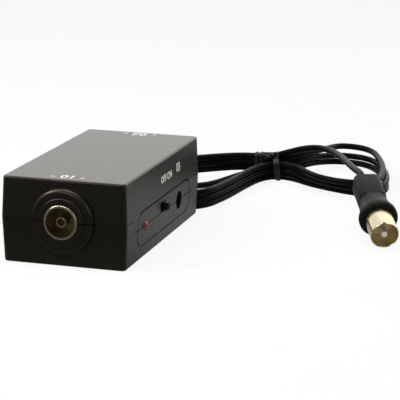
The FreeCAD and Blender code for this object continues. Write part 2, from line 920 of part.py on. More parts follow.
core_block = box("core_block", "dims.core_x", "dims.core_y", board_top, "dims.core_width", "dims.core_length", "dims.core_height")
core_holes = [
    rod(
        f"core_hole_{k}",
        "dims.core_hole",
        "2*dims.core_length",
        f"dims.core_x + {k}*dims.core_width/4",
        "dims.core_y - dims.core_length",
        f"{board_top} + dims.core_height/2",
        ALONG_Y,
    )
    for k in (-1, 1)
]
piece(cut("ferrite_core", core_block, *core_holes))

piece(
    rod(
        "electrolytic_capacitor",
        "dims.smoothing_radius",
        "dims.smoothing_height",
        f"-{board_half} + dims.smoothing_edge_gap",
        "dims.smoothing_y",
        board_top,
    )
)
regulator_round = rod(
    "regulator_round",
    "dims.regulator_radius",
    "dims.regulator_height",
    "dims.regulator_x",
    "dims.regulator_y",
    board_top,
)
regulator_flat = box(
    "regulator_flat",
    "dims.regulator_x",
    "dims.regulator_y - 1.3*dims.regulator_radius",
    f"{board_top} - 1",
    "3*dims.regulator_radius",
    "dims.regulator_radius",
    "2*dims.regulator_height",
)
piece(cut("voltage_regulator", regulator_round, regulator_flat))


# Pilot light

led_back = f"({side} + dims.led_stand_out - dims.led_length)"
led_body, led_turn = turned(
    "led_lens",
    [
        ("0", "0"),
        ("0", "dims.led_radius + dims.led_flange"),
        ("dims.led_flange_thickness", "dims.led_radius + dims.led_flange"),
        ("dims.led_flange_thickness", "dims.led_radius"),
        ("dims.led_length", "dims.led_radius"),
        ("dims.led_length", "0"),
    ],
    along="X",
    x=led_back,
    y="dims.led_station",
    z=side_seam,
)
led_tip_x = size("case_width") / 2 + size("led_stand_out")


def led_rim(e):
    at = e.BoundBox
    return at.XLength < 1e-6 and abs(at.XMin - led_tip_x) < 1e-4


round_edges(led_body, led_turn, "0.97*dims.led_radius", led_rim)
piece(led_body)

led_legs = []
for k in (-1, 1):
    leg_y = f"dims.led_station + {k}*dims.led_lead_pitch/2"
    led_legs.append(
        slab(
            f"led_run_{k + 1}",
            f"{led_back} - dims.led_lead_run",
            f"{leg_y} - dims.wire_thickness/2",
            f"{side_seam} - dims.wire_thickness/2",
            "dims.led_lead_run",
            "dims.wire_thickness",
            "dims.wire_thickness",
        )
    )
    led_legs.append(
        slab(
            f"led_leg_{k + 1}",
            f"{led_back} - dims.led_lead_run",
            f"{leg_y} - dims.wire_thickness/2",
            board_top,
            "dims.wire_thickness",
            "dims.wire_thickness",
            f"{side_seam} + dims.wire_thickness/2 - {board_top}",
        )
    )
piece(join("led_leads", *led_legs))


# Slide switch

frame_face = f"({inner_side} - dims.side_seam_drop*{draft} - 2*dims.fit_gap)"
frame_back = f"({frame_face} - dims.switch_depth)"
frame_y = f"(dims.switch_station - dims.switch_length/2)"
frame_z = f"({knob_height} - dims.switch_height/2)"
frame_outer = slab(
    "frame_outer",
    frame_back,
    frame_y,
    frame_z,
    "dims.switch_depth",
    "dims.switch_length",
    "dims.switch_height",
)
frame_hollow = slab(
    "frame_hollow",
    f"{frame_back} - 1",
    f"{frame_y} + dims.switch_sheet",
    f"{frame_z} + dims.switch_sheet",
    "dims.switch_depth + 1 - dims.switch_sheet",
    "dims.switch_length - 2*dims.switch_sheet",
    "dims.switch_height - 2*dims.switch_sheet",
)
frame_slot = slab(
    "frame_slot",
    f"{frame_face} - 2*dims.switch_sheet",
    f"dims.switch_station - {window_length}/2",
    f"{knob_height} - {window_height}/2",
    "3*dims.switch_sheet",
    window_length,
    window_height,
)
frame_ears = [
    slab(
        f"frame_ear_{k}",
        f"{frame_back}",
        f"dims.switch_station + {k}*(dims.switch_length - dims.switch_sheet)/2 - dims.switch_sheet/2",
        board_top,
        "dims.switch_depth/2",
        "dims.switch_sheet",
        f"{frame_z} + 1 - {board_top}",
    )
    for k in (-1, 1)
]
frame_blank = join("frame_blank", frame_outer, *frame_ears)
piece(cut("switch_frame", frame_blank, frame_hollow, frame_slot))

base_gap = "(dims.switch_sheet + 0.02)"
piece(
    slab(
        "switch_base",
        frame_back,
        f"{frame_y} + {base_gap}",
        f"{frame_z} + {base_gap}",
        "dims.switch_base_depth",
        f"dims.switch_length - 2*{base_gap}",
        f"dims.switch_height - 2*{base_gap}",
    )
)

terminals = []
for k in (-1, 0, 1):
    terminal_y = f"dims.switch_station + {k}*dims.terminal_pitch - dims.terminal_width/2"
    terminals.append(
        slab(
            f"terminal_{k + 1}",
            f"{frame_back} - dims.wire_thickness",
            terminal_y,
            board_top,
            "dims.wire_thickness",
            "dims.terminal_width",
            f"{knob_height} - {board_top}",
        )
    )
piece(join("switch_terminals", *terminals))

# At rest the knob stands at the rear end of its travel, the ON end
knob_y = "(dims.switch_station + dims.knob_travel/2)"
slider_back = f"({frame_back} + dims.switch_base_depth + 0.1)"
knob_tip = f"({side} + dims.knob_stand_out)"
slider_plate = slab(
    "slider_plate",
    slider_back,
    f"{knob_y} - dims.knob_length/2 - dims.slider_overlap",
    f"{frame_z} + dims.switch_sheet + 0.1",
    "dims.slider_thickness",
    "dims.knob_length + 2*dims.slider_overlap",
    "dims.switch_height - 2*dims.switch_sheet - 0.2",
)
knob_body, knob_pad = padded(
    "knob_nub",
    "YZ_Plane",
    rectangle("dims.knob_length/2", "dims.knob_height/2"),
    f"{knob_tip} - {slider_back}",
    right=knob_y,
    up=knob_height,
    out=slider_back,
)
round_edges(
    knob_body, knob_pad, "0.35", lambda e: e.BoundBox.XMin > size("case_width") / 2 + 0.5
)
piece(join("switch_knob", slider_plate, knob_body))


# Supply socket

jack_face = f"({board_side} - 2*dims.fit_gap)"
jack_back = f"({saddle_half} + dims.clamp_foot + dims.jack_back_gap)"
jack_length = f"({jack_face} - {jack_back})"
jack_block = slab(
    "jack_block",
    jack_back,
    "dims.jack_station - dims.jack_width/2",
    board_top,
    jack_length,
    "dims.jack_width",
    f"dims.jack_height + dims.jack_cover - {board_top}",
)
jack_bore = rod(
    "jack_bore_space",
    "dims.jack_bore",
    "dims.jack_bore_depth + 1",
    f"{jack_face} - dims.jack_bore_depth",
    "dims.jack_station",
    "dims.jack_height",
    ALONG_X,
)
jack_pin_hole = rod(
    "jack_pin_hole",
    "dims.jack_pin_seat + 0.02",
    f"{jack_length} + 2",
    f"{jack_back} - 1",
    "dims.jack_station",
    "dims.jack_height",
    ALONG_X,
)
spring_z = "(dims.jack_height - dims.jack_bore - 0.1)"
spring_x = f"({jack_face} - dims.jack_bore_depth + 1)"
spring_length = "(dims.jack_bore_depth - 3)"
jack_slot = slab(
    "jack_slot",
    f"{spring_x} - 0.1",
    "dims.jack_station - dims.jack_spring_width/2 - 0.1",
    f"{board_top} - 1",
    f"{spring_length} + 0.2",
    "dims.jack_spring_width + 0.2",
    f"dims.jack_height - dims.jack_bore + 0.7 - {board_top} + 1",
)
piece(cut("jack_housing", jack_block, jack_bore, jack_pin_hole, jack_slot))

pin_free = rod(
    "pin_free",
    "dims.jack_pin_radius",
    "dims.jack_bore_depth - dims.jack_pin_recess",
    f"{jack_face} - dims.jack_bore_depth",
    "dims.jack_station",
    "dims.jack_height",
    ALONG_X,
)
pin_seated = rod(
    "pin_seated",
    "dims.jack_pin_seat",
    f"{jack_length} - dims.jack_bore_depth + 1",
    jack_back,
    "dims.jack_station",
    "dims.jack_height",
    ALONG_X,
)
piece(join("jack_pin", pin_free, pin_seated))
spring_leaf = slab(
    "spring_leaf",
    spring_x,
    "dims.jack_station - dims.jack_spring_width/2",
    spring_z,
    spring_length,
    "dims.jack_spring_width",
    "dims.jack_spring_thickness",
)
spring_leg = slab(
    "spring_leg",
    spring_x,
    "dims.jack_station - dims.jack_spring_width/2",
    board_top,
    "dims.jack_spring_thickness",
    "dims.jack_spring_width",
    f"{spring_z} - {board_top} + dims.jack_spring_thickness/2",
)
piece(join("jack_spring", spring_leaf, spring_leg))


# Strain relief in the rear wall

relief_inside = f"({rear} - dims.case_wall - dims.relief_flange*{draft} - 0.05)"
relief_outside = f"({rear} + 0.05)"
relief_bore = "(dims.cord_radius + 0.1)"
relief_body, _ = turned(
    "lead_relief",
    [
        (f"{relief_inside} - dims.relief_flange_thickness", relief_bore),
        (f"{rear} + dims.relief_length", relief_bore),
        (f"{rear} + dims.relief_length", "dims.relief_tip"),
        (relief_outside, "dims.relief_root"),
        (relief_outside, "dims.relief_neck"),
        (relief_inside, "dims.relief_neck"),
        (relief_inside, "dims.relief_flange"),
        (f"{relief_inside} - dims.relief_flange_thickness", "dims.relief_flange"),
    ],
    z=axis_height,
)
piece(relief_body)


# Tubes of the lead: straight runs and tangent arcs in one wire, swept by a circle

cord_radius = size("cord_radius")


def unit(vector):
    copy = V(vector)
    return copy.normalize()


def arc_from(start, heading, end):
    """Arc or line that leaves start along heading and ends at end; its edge, end heading, radius."""
    chord = end - start
    along = unit(chord)
    cosine = max(-1.0, min(1.0, heading.dot(along)))
    half_turn = math.acos(cosine)
    if half_turn < 1e-5:
        return Part.LineSegment(start, end).toShape(), heading, math.inf
    radius = chord.Length / (2 * math.sin(half_turn))
    outward = unit(heading - along * cosine)
    middle = (start + end) * 0.5 + outward * (radius * (1 - math.cos(half_turn)))
    edge = Part.Arc(start, middle, end).toShape()
    return edge, unit(along * (2 * cosine) - heading), radius


def biarc(start, start_heading, end, end_heading):
    """Two tangent arcs between two points with given headings."""
    span = end - start
    total = start_heading + end_heading
    spread = 2 * (1 - start_heading.dot(end_heading))
    reach = span.dot(total)
    if spread < 1e-9:
        offset = span.dot(span) / (2 * reach)
    else:
        offset = (math.sqrt(reach * reach + spread * span.dot(span)) - reach) / spread
    joint = (start + end + (start_heading - end_heading) * offset) * 0.5
    first, heading, first_radius = arc_from(start, start_heading, joint)
    second, _, second_radius = arc_from(joint, heading, end)
    return [first, second], [first_radius, second_radius]


def route_edges(points, name):
    """Straight runs joined by arcs, each arc as large as its two runs allow."""
    edges = []
    radii = []
    at = points[0]
    for before, corner, after in zip(points, points[1:], points[2:]):
        into = unit(corner - before)
        out = unit(after - corner)
        turn = math.acos(max(-1.0, min(1.0, into.dot(out))))
        cutback = 0.45 * min((corner - before).Length, (after - corner).Length)
        start = corner - into * cutback
        end = corner + out * cutback
        edges.append(Part.LineSegment(at, start).toShape())
        edge, _, radius = arc_from(start, into, end)
        edges.append(edge)
        radii.append(radius)
        at = end
    edges.append(Part.LineSegment(at, points[-1]).toShape())
    print(f"{name}: radii {[round(r, 1) for r in radii]}")
    return edges


def tube(name, edges, radius):
    wire = Part.Wire(edges)
    start = wire.Edges[0].valueAt(wire.Edges[0].FirstParameter)
    heading = wire.Edges[0].tangentAt(wire.Edges[0].FirstParameter)
    circle = Part.Wire(Part.Circle(start, heading, radius).toShape())
    shell = Part.BRepOffsetAPI.MakePipeShell(wire)
    shell.add(circle)
    shell.build()
    shell.makeSolid()
    feature = doc.addObject("Part::Feature", name)
    feature.Shape = shell.shape()
    plain = math.pi * radius * radius * wire.Length
    print(f"{name}: length {wire.Length:.1f}, volume {feature.Shape.Volume / plain:.4f} of section times length")
    return piece(feature), wire


def least_gap(wire, radius):
    """Least gap of a tube to itself, measured on points of its middle line."""
    pitch = radius / 2
    points = wire.discretize(Distance=pitch)
    apart = math.ceil(math.pi * radius * 2 / pitch)
    least = min(
        points[i].distanceToPoint(points[j])
        for i in range(0, len(points))
        for j in range(i + apart, len(points))
    )
    return least - 2 * radius


# Hank: every loop passes the waist rearwards, goes round the right lobe, comes back through the
# waist and goes round the left lobe, behind the case, where it climbs a layer along a run

level_step = 2 * cord_radius + size("loop_gap")
waist_lift = size("tie_thickness") + size("tie_gap")
waist = V(size("waist_x"), size("waist_y"), 0)
waist_along = V(math.cos(math.radians(size("waist_heading"))), math.sin(math.radians(size("waist_heading"))), 0)
waist_across = V(-waist_along.y, waist_along.x, 0)
column_offset = cord_radius + size("waist_gap") / 2


def level(index):
    return cord_radius + level_step * index


def waist_point(along, across, index):
    return waist + waist_along * along + waist_across * across + V(0, 0, level(index) + waist_lift)


# Lobe points of the first loop, each (x, y, heading), and their step from loop to loop
right_lobe = [
    ((58.5, 127.5, 0), (-0.5, 5.8, -4)),
    ((79.2, 98.0, -76), (-2.6, 8.0, 2)),
    ((67.5, 86.0, 170), (-1.0, -2.8, 2)),
]
left_lobe = [
    ((26.6, 77.0, 264), (-0.2, 0.5, 0)),
    ((9.0, 42.5, 180), (0.0, 0.5, 0)),
    ((-13.0, 66.0, 85), (0.0, 0.0, 0)),
    ((6.4, 92.7, 34), (0.0, 0.0, 0)),
]


def lobe_nodes(lobe, loop, climb_at=None):
    climb = size("climb_share")
    nodes = []
    for index, (first, step) in enumerate(lobe):
        x, y, heading = (a + loop * b for a, b in zip(first, step))
        layer = loop + (climb if index == climb_at else 0)
        angle = math.radians(heading)
        nodes.append((V(x, y, level(layer)), V(math.cos(angle), math.sin(angle), 0)))
    return nodes


def hank_nodes():
    count = round(size("loop_count"))
    left = -size("waist_left")
    left_front = -size("waist_left_front")
    right = size("waist_right")
    back = waist_along * -1
    nodes = [(waist_point(left, column_offset, 0), waist_along)]
    for loop in range(count):
        nodes.append((waist_point(right, column_offset, loop), waist_along))
        nodes += lobe_nodes(right_lobe, loop)
        nodes.append((waist_point(right, -column_offset, loop), back))
        nodes.append((waist_point(left_front, -column_offset, loop), back))
        nodes += lobe_nodes(left_lobe, loop, climb_at=len(left_lobe) - 1)
        nodes.append((waist_point(left, column_offset, loop + 1), waist_along))
    nodes.append((waist_point(right, column_offset, count), waist_along))
    return nodes


loops = hank_nodes()
loop_edges = []
loop_radii = []
for (start, start_heading), (end, end_heading) in zip(loops, loops[1:]):
    edges, radii = biarc(start, start_heading, end, end_heading)
    loop_edges += edges
    loop_radii += radii
print(f"lead_hank: tightest radius {min(loop_radii):.1f}")
_, loop_wire = tube("lead_hank", loop_edges, cord_radius)
print(f"lead_hank: least gap to itself {least_gap(loop_wire, cord_radius):.2f}")

# Lead inside the case, from the board's saddle up into the strain relief
relief_end_y = size("case_length") / 2 + size("relief_length")
axis_z = size("parting_height")
clamp_end_y = size("clamp_station") - size("clamp_width") / 2
tail_z = size("board_height") + cord_radius
rise_start_y = clamp_end_y + size("tail_flat")
rise_end_y = size("case_length") / 2 - size("tail_level")
tail_points = [
    V(0, clamp_end_y, tail_z),
    V(0, rise_start_y, tail_z),
    V(0, rise_start_y + size("tail_bend"), tail_z + size("tail_bend_rise")),
    V(0, rise_end_y - size("tail_bend"), axis_z - size("tail_bend_rise")),
    V(0, rise_end_y, axis_z),
    V(0, relief_end_y, axis_z),
]
tube("lead_tail", route_edges(tail_points, "lead_tail"), cord_radius)

# Free stretch behind the case: down to the floor and in under the loops at the waist
lead_start_end = loops[0][0]
start_points = [
    V(0, relief_end_y, axis_z),
    V(0, relief_end_y + 6, axis_z),
    V(1.4, 62.0, 12.6),
    V(4.0, 67.3, 8.6),
    V(7.2, 73.0, 4.3),
    V(11.0, 80.0, 1.5),
    V(14.8, 88.0, 1.25),
    V(17.9, 95.0, 1.25),
    V(20.0, 98.1, 1.35),
    lead_start_end - waist_along * 3.6,
    lead_start_end,
]
tube("lead_start", route_edges(start_points, "lead_start"), cord_radius)

# Plug placement: its mouth rests on the floor, its rear end is raised
tilt = math.radians(size("plug_tilt"))
turn_z = math.radians(size("plug_heading"))
plug_back = V(-math.sin(turn_z) * math.cos(tilt), math.cos(turn_z) * math.cos(tilt), math.sin(tilt))
plug_tip = V(size("plug_tip_x"), size("plug_tip_y"), size("shell_radius") * math.cos(tilt) + 0.02)
plug_turn = FreeCAD.Rotation(V(0, 0, 1), size("plug_heading")).multiply(
    FreeCAD.Rotation(V(1, 0, 0), size("plug_tilt"))
)
plug_length = size("shell_length") + size("flange_length") + size("neck_length") + size("grip_length")
plug_rear = plug_tip + plug_back * plug_length

# Free stretch from the waist over the loops to the plug
end_start = loops[-1][0]
end_points = [
    end_start,
    end_start + waist_along * 5,
    V(48.2, 105.0, 13.0),
    V(55.0, 101.0, 14.2),
    V(60.2, 92.2, 14.7),
    V(65.0, 82.2, 15.2),
    V(69.4, 71.2, 15.8),
    V(73.4, 60.4, 16.4),
    plug_rear + plug_back * 6 + V(0, 0, 0.5),
    plug_rear + plug_back * 0.1,
]
tube("lead_end", route_edges(end_points, "lead_end"), cord_radius)

# Saddle over the lead, and the stripped end beyond it
saddle_height = "(2*dims.cord_radius + dims.fit_gap + dims.clamp_wall)"
saddle_block = box(
    "saddle_block", "0", "dims.clamp_station", board_top, f"2*{saddle_half}", "dims.clamp_width", saddle_height
)
saddle_feet = box(
    "saddle_feet",
    "0",
    "dims.clamp_station",
    board_top,
    f"2*({saddle_half} + dims.clamp_foot)",
    "dims.clamp_width",
    "dims.clamp_wall",
)
saddle_space = box(
    "saddle_space",
    "0",
    "dims.clamp_station",
    f"{board_top} - 1",
    "2*(dims.cord_radius + dims.fit_gap)",
    "2*dims.clamp_width",
    "1 + 2*dims.cord_radius + dims.fit_gap",
)
piece(cut("lead_clamp", join("saddle_blank", saddle_block, saddle_feet), saddle_space))
piece(
    rod(
        "lead_core",
        "dims.core_radius",
        "dims.core_bare",
        "0",
        "dims.clamp_station - dims.clamp_width/2 - dims.core_bare",
        f"{board_top} + dims.cord_radius",
        ALONG_Y,
    )
)


# Wire tie: one turn round the rear column, one round the whole waist, and its twisted ends.
# Drawn along X through the waist, then turned to the waist's heading.

rear_top = "(4*2*dims.cord_radius + 3*dims.loop_gap + dims.tie_thickness + 2*dims.tie_gap)"
strand = "(2*dims.cord_radius + 2*dims.tie_gap)"
column = "(dims.cord_radius + dims.waist_gap/2)"


def tie_turn(name, middle_x, middle_y, inner_width):
    outer = box(
        name + "_outer",
        middle_x,
        middle_y,
        "0",
        "dims.tie_width",
        f"{inner_width} + 2*dims.tie_thickness",
        f"{rear_top} + dims.tie_thickness",
    )
    rounded = doc.addObject("Part::Fillet", name + "_rounded")
    rounded.Base = outer
    doc.recompute()
    corner = size("tie_thickness") + 0.5
    rounded.Edges = [
        (k + 1, corner, corner)
        for k, e in enumerate(outer.Shape.Edges)
        if abs(e.tangentAt(e.FirstParameter).x) > 0.9
    ]
    inner = box(
        name + "_inner",
        middle_x,
        middle_y,
        "dims.tie_thickness",
        "2*dims.tie_width",
        inner_width,
        f"{rear_top} - dims.tie_thickness",
    )
    return cut(name, rounded, inner)


first_turn = tie_turn("first_turn", "-dims.tie_left", column, strand)
second_turn = tie_turn("second_turn", "0", "0", f"({strand} + 2*{column})")
tie_strap = box(
    "tie_strap",
    "-dims.tie_left/2",
    column,
    rear_top,
    "dims.tie_left",
    "0.8*dims.tie_width",
    "dims.tie_thickness",
)
tie_ends = rod(
    "tie_ends",
    "dims.tie_twist_radius",
    "dims.tie_twist_length",
    "-0.6",
    f"{column} - 0.5*dims.tie_twist_length",
    f"{rear_top} + dims.tie_thickness/2 + 0.8*dims.tie_twist_radius",
    ALONG_Y,
)
tie = piece(join("twist_tie", first_turn, second_turn, tie_strap, tie_ends))
tie.Placement = FreeCAD.Placement(waist, FreeCAD.Rotation(V(0, 0, 1), size("waist_heading")))


# Aerial plug, drawn along +Y from its mouth and then placed

plug_place = FreeCAD.Placement(plug_tip, plug_turn)


def plug_piece(obj):
    obj.Placement = plug_place
    return piece(obj)


shell_bore = "(dims.shell_radius - dims.shell_wall)"
shell_tube, shell_turn = turned(
    "shell_tube", ring_outline("0", "dims.shell_length + dims.shell_seat", shell_bore, "dims.shell_radius")
)
slits = [
    box(
        "slit_across",
        "0",
        "0",
        "-dims.shell_slit/2",
        "3*dims.shell_radius",
        "2*dims.shell_slit_length",
        "dims.shell_slit",
    ),
    box(
        "slit_upright",
        "0",
        "0",
        "-1.5*dims.shell_radius",
        "dims.shell_slit",
        "2*dims.shell_slit_length",
        "3*dims.shell_radius",
    ),
]
plug_piece(cut("plug_shell", shell_tube, *slits))

disc_y = "(dims.shell_length - dims.plug_disc)"
disc, _ = turned(
    "plug_insulator",
    ring_outline(disc_y, "dims.shell_length + dims.shell_seat", "dims.pin_seat + 0.02", f"{shell_bore} - 0.02"),
)
plug_piece(disc)

pin, pin_turn = turned(
    "plug_pin",
    [
        ("dims.pin_recess", "0"),
        ("dims.pin_recess", "dims.pin_radius"),
        (disc_y, "dims.pin_radius"),
        (disc_y, "dims.pin_seat"),
        ("dims.shell_length + dims.shell_seat + 4", "dims.pin_seat"),
        ("dims.shell_length + dims.shell_seat + 4", "0"),
    ],
)
pin_tip_y = size("pin_recess")
round_edges(pin, pin_turn, "0.6", circle_at(pin_tip_y, size("pin_radius")))
plug_piece(pin)

flange_y = "dims.shell_length"
neck_y = "(dims.shell_length + dims.flange_length)"
grip_y = f"({neck_y} + dims.neck_length)"
rear_y = f"({grip_y} + dims.grip_length)"
head, head_turn = turned(
    "plug_head",
    [
        (flange_y, "0"),
        (flange_y, "dims.flange_radius"),
        (neck_y, "dims.flange_radius"),
        (f"{neck_y} + dims.neck_shoulder*dims.neck_length", "dims.neck_radius + 0.3*(dims.flange_radius - dims.neck_radius)"),
        (f"{neck_y} + dims.neck_end*dims.neck_length", "dims.neck_radius"),
        (f"{grip_y} + 2", "dims.neck_radius"),
        (f"{grip_y} + 2", "0"),
    ],
)
flange_front = size("shell_length")
front_round = round_edges(
    head, head_turn, "dims.flange_round", circle_at(flange_front, size("flange_radius"))
)
round_edges(
    head,
    front_round,
    "0.9",
    circle_at(flange_front + size("flange_length"), size("flange_radius")),
)
grip, grip_pad = padded(
    "plug_grip",
    "XZ_Plane",
    rectangle("dims.grip_width/2", "dims.grip_height/2"),
    "dims.grip_length",
    out=f"-{rear_y}",
)
grip_round = round_edges(
    grip, grip_pad, "dims.grip_round", lambda e: abs(e.tangentAt(e.FirstParameter).y) > 0.9
)
shell_space = rod(
    "shell_space", "dims.shell_radius + 0.02", "dims.shell_seat + 1.02", "0", "dims.shell_length - 1", "0", ALONG_Y
)
seat_end = "(dims.shell_length + dims.shell_seat)"
ferrule_start = f"({seat_end} + dims.ferrule_setback)"
inner_space = rod(
    "inner_space", "dims.ferrule_radius + 0.3", "dims.ferrule_setback", "0", seat_end, "0", ALONG_Y
)
ferrule_space = rod(
    "ferrule_space",
    "dims.ferrule_radius + 0.02",
    "dims.ferrule_length + 0.5",
    "0",
    ferrule_start,
    "0",
    ALONG_Y,
)
plug_piece(cut("plug_body", join("plug_blank", head, grip), shell_space, inner_space, ferrule_space))

ferrule, _ = turned(
    "plug_ferrule",
    ring_outline(
        ferrule_start,
        f"{ferrule_start} + dims.ferrule_length",
        "dims.ferrule_radius - dims.ferrule_wall",
        "dims.ferrule_radius",
    ),
)
plug_piece(ferrule)


# Check every object, then write each piece

doc.recompute()
for obj in doc.Objects:
    for state in obj.State:
        if state in ("Invalid", "Error"):
            raise RuntimeError(f"{obj.Label} is {state}")
for obj in pieces:
    if obj.Shape.isNull() or not obj.Shape.isValid():
        raise RuntimeError(f"{obj.Label} has no valid shape")

os.makedirs("parts", exist_ok=True)
for obj in pieces:
    obj.Shape.exportStep(f"parts/{obj.Label}.step")
print(f"{len(pieces)} pieces written")
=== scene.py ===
import math

import bmesh
import bpy
from mathutils import Matrix, Vector


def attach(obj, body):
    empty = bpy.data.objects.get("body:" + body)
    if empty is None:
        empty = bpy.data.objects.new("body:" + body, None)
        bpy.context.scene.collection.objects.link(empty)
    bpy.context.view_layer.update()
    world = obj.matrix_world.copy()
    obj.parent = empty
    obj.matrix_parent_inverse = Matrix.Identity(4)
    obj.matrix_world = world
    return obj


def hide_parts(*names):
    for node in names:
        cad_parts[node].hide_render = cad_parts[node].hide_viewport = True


# Aerial amplifier box with its tied coaxial lead.
# Sizes are in millimetres, and inMetres() turns a point into Blender's metres.

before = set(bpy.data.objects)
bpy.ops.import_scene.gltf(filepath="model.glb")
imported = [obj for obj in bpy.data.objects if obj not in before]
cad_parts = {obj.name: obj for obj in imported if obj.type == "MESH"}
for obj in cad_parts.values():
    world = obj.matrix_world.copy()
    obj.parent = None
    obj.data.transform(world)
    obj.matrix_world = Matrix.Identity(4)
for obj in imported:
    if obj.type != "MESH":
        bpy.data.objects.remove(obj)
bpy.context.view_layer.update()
millimetre = 0.001


def inMetres(*point):
    return Vector(point) * millimetre


# Camera, at the place from which the photograph was taken. Its angles are in degrees.
camera = {
    "place": (179.06, -508.44, 144.01),
    "azimuth": 16.022,
    "elevation": 13.706,
    "roll": 0.693,
    "lens": 148.1,
    "sensor": 36,
}


def makeCamera():
    around = math.radians(camera["azimuth"])
    above = math.radians(camera["elevation"])
    roll = math.radians(camera["roll"])
    level = Vector((math.cos(around), math.sin(around), 0))
    back = Vector((math.sin(around) * math.cos(above), -math.cos(around) * math.cos(above), math.sin(above)))
    upright = back.cross(level)
    right = level * math.cos(roll) + upright * math.sin(roll)
    up = upright * math.cos(roll) - level * math.sin(roll)
    data = bpy.data.cameras.new("photoCamera")
    data.lens = camera["lens"]
    data.sensor_width = camera["sensor"]
    data.clip_start = 0.01
    data.clip_end = 20
    body = bpy.data.objects.new("photoCamera", data)
    turn = Matrix((right, up, back)).transposed().to_4x4()
    body.matrix_world = Matrix.Translation(inMetres(*camera["place"])) @ turn
    bpy.context.scene.collection.objects.link(body)
    bpy.context.scene.camera = body


makeCamera()
print("camera placed")

# Materials

def linear(hexColour):
    # from an sRGB code to linear light
    channels = [int(hexColour[i:i + 2], 16) / 255 for i in (1, 3, 5)]
    return [c / 12.92 if c <= 0.04045 else ((c + 0.055) / 1.055) ** 2.4 for c in channels] + [1]


def addNode(tree, kind, settings=None, links=None):
    node = tree.nodes.new(kind)
    for name, value in (settings or {}).items():
        if isinstance(name, int) or name in node.inputs:
            node.inputs[name].default_value = value
        else:
            setattr(node, name, value)
    for name, source in (links or {}).items():
        tree.links.new(source, node.inputs[name])
    return node


def newMaterial(name, settings):
    material = bpy.data.materials.new(name)
    material.use_nodes = True
    tree = material.node_tree
    shader = tree.nodes["Principled BSDF"]
    for socket, value in settings.items():
        shader.inputs[socket].default_value = value
    place = addNode(tree, "ShaderNodeTexCoord").outputs["Object"]
    return material, tree, shader, place


def perMetre(size):
    return 1 / (size * millimetre)


def mottle(tree, place, size, detail=3):
    settings = {"Scale": perMetre(size), "Detail": detail}
    return addNode(tree, "ShaderNodeTexNoise", settings, {"Vector": place}).outputs["Fac"]


def blendColours(tree, factor, first, second, start=0.35, end=0.65):
    ramp = addNode(tree, "ShaderNodeValToRGB", None, {"Fac": factor})
    ramp.color_ramp.elements[0].position = start
    ramp.color_ramp.elements[0].color = linear(first)
    ramp.color_ramp.elements[1].position = end
    ramp.color_ramp.elements[1].color = linear(second)
    return ramp.outputs["Color"]


def spread(tree, factor, low, high):
    settings = {"From Min": 0.3, "From Max": 0.7, "To Min": low, "To Max": high}
    return addNode(tree, "ShaderNodeMapRange", settings, {"Value": factor}).outputs["Result"]


def bumpOf(tree, height, depth, strength=1.0):
    settings = {"Strength": strength, "Distance": depth * millimetre}
    return addNode(tree, "ShaderNodeBump", settings, {"Height": height}).outputs["Normal"]


def dress(name, settings, finish, grainSize, grainDetail):
    # a slight drift of colour over patches, and a fine grain that shows in the sheen and the bump
    material, tree, shader, place = newMaterial(name, settings)
    patches = mottle(tree, place, finish["patch"], detail=4)
    grain = mottle(tree, place, grainSize, grainDetail)
    tree.links.new(blendColours(tree, patches, *finish["colours"]), shader.inputs["Base Color"])
    tree.links.new(spread(tree, grain, *finish["roughness"]), shader.inputs["Roughness"])
    tree.links.new(bumpOf(tree, grain, finish["depth"]), shader.inputs["Normal"])
    return material


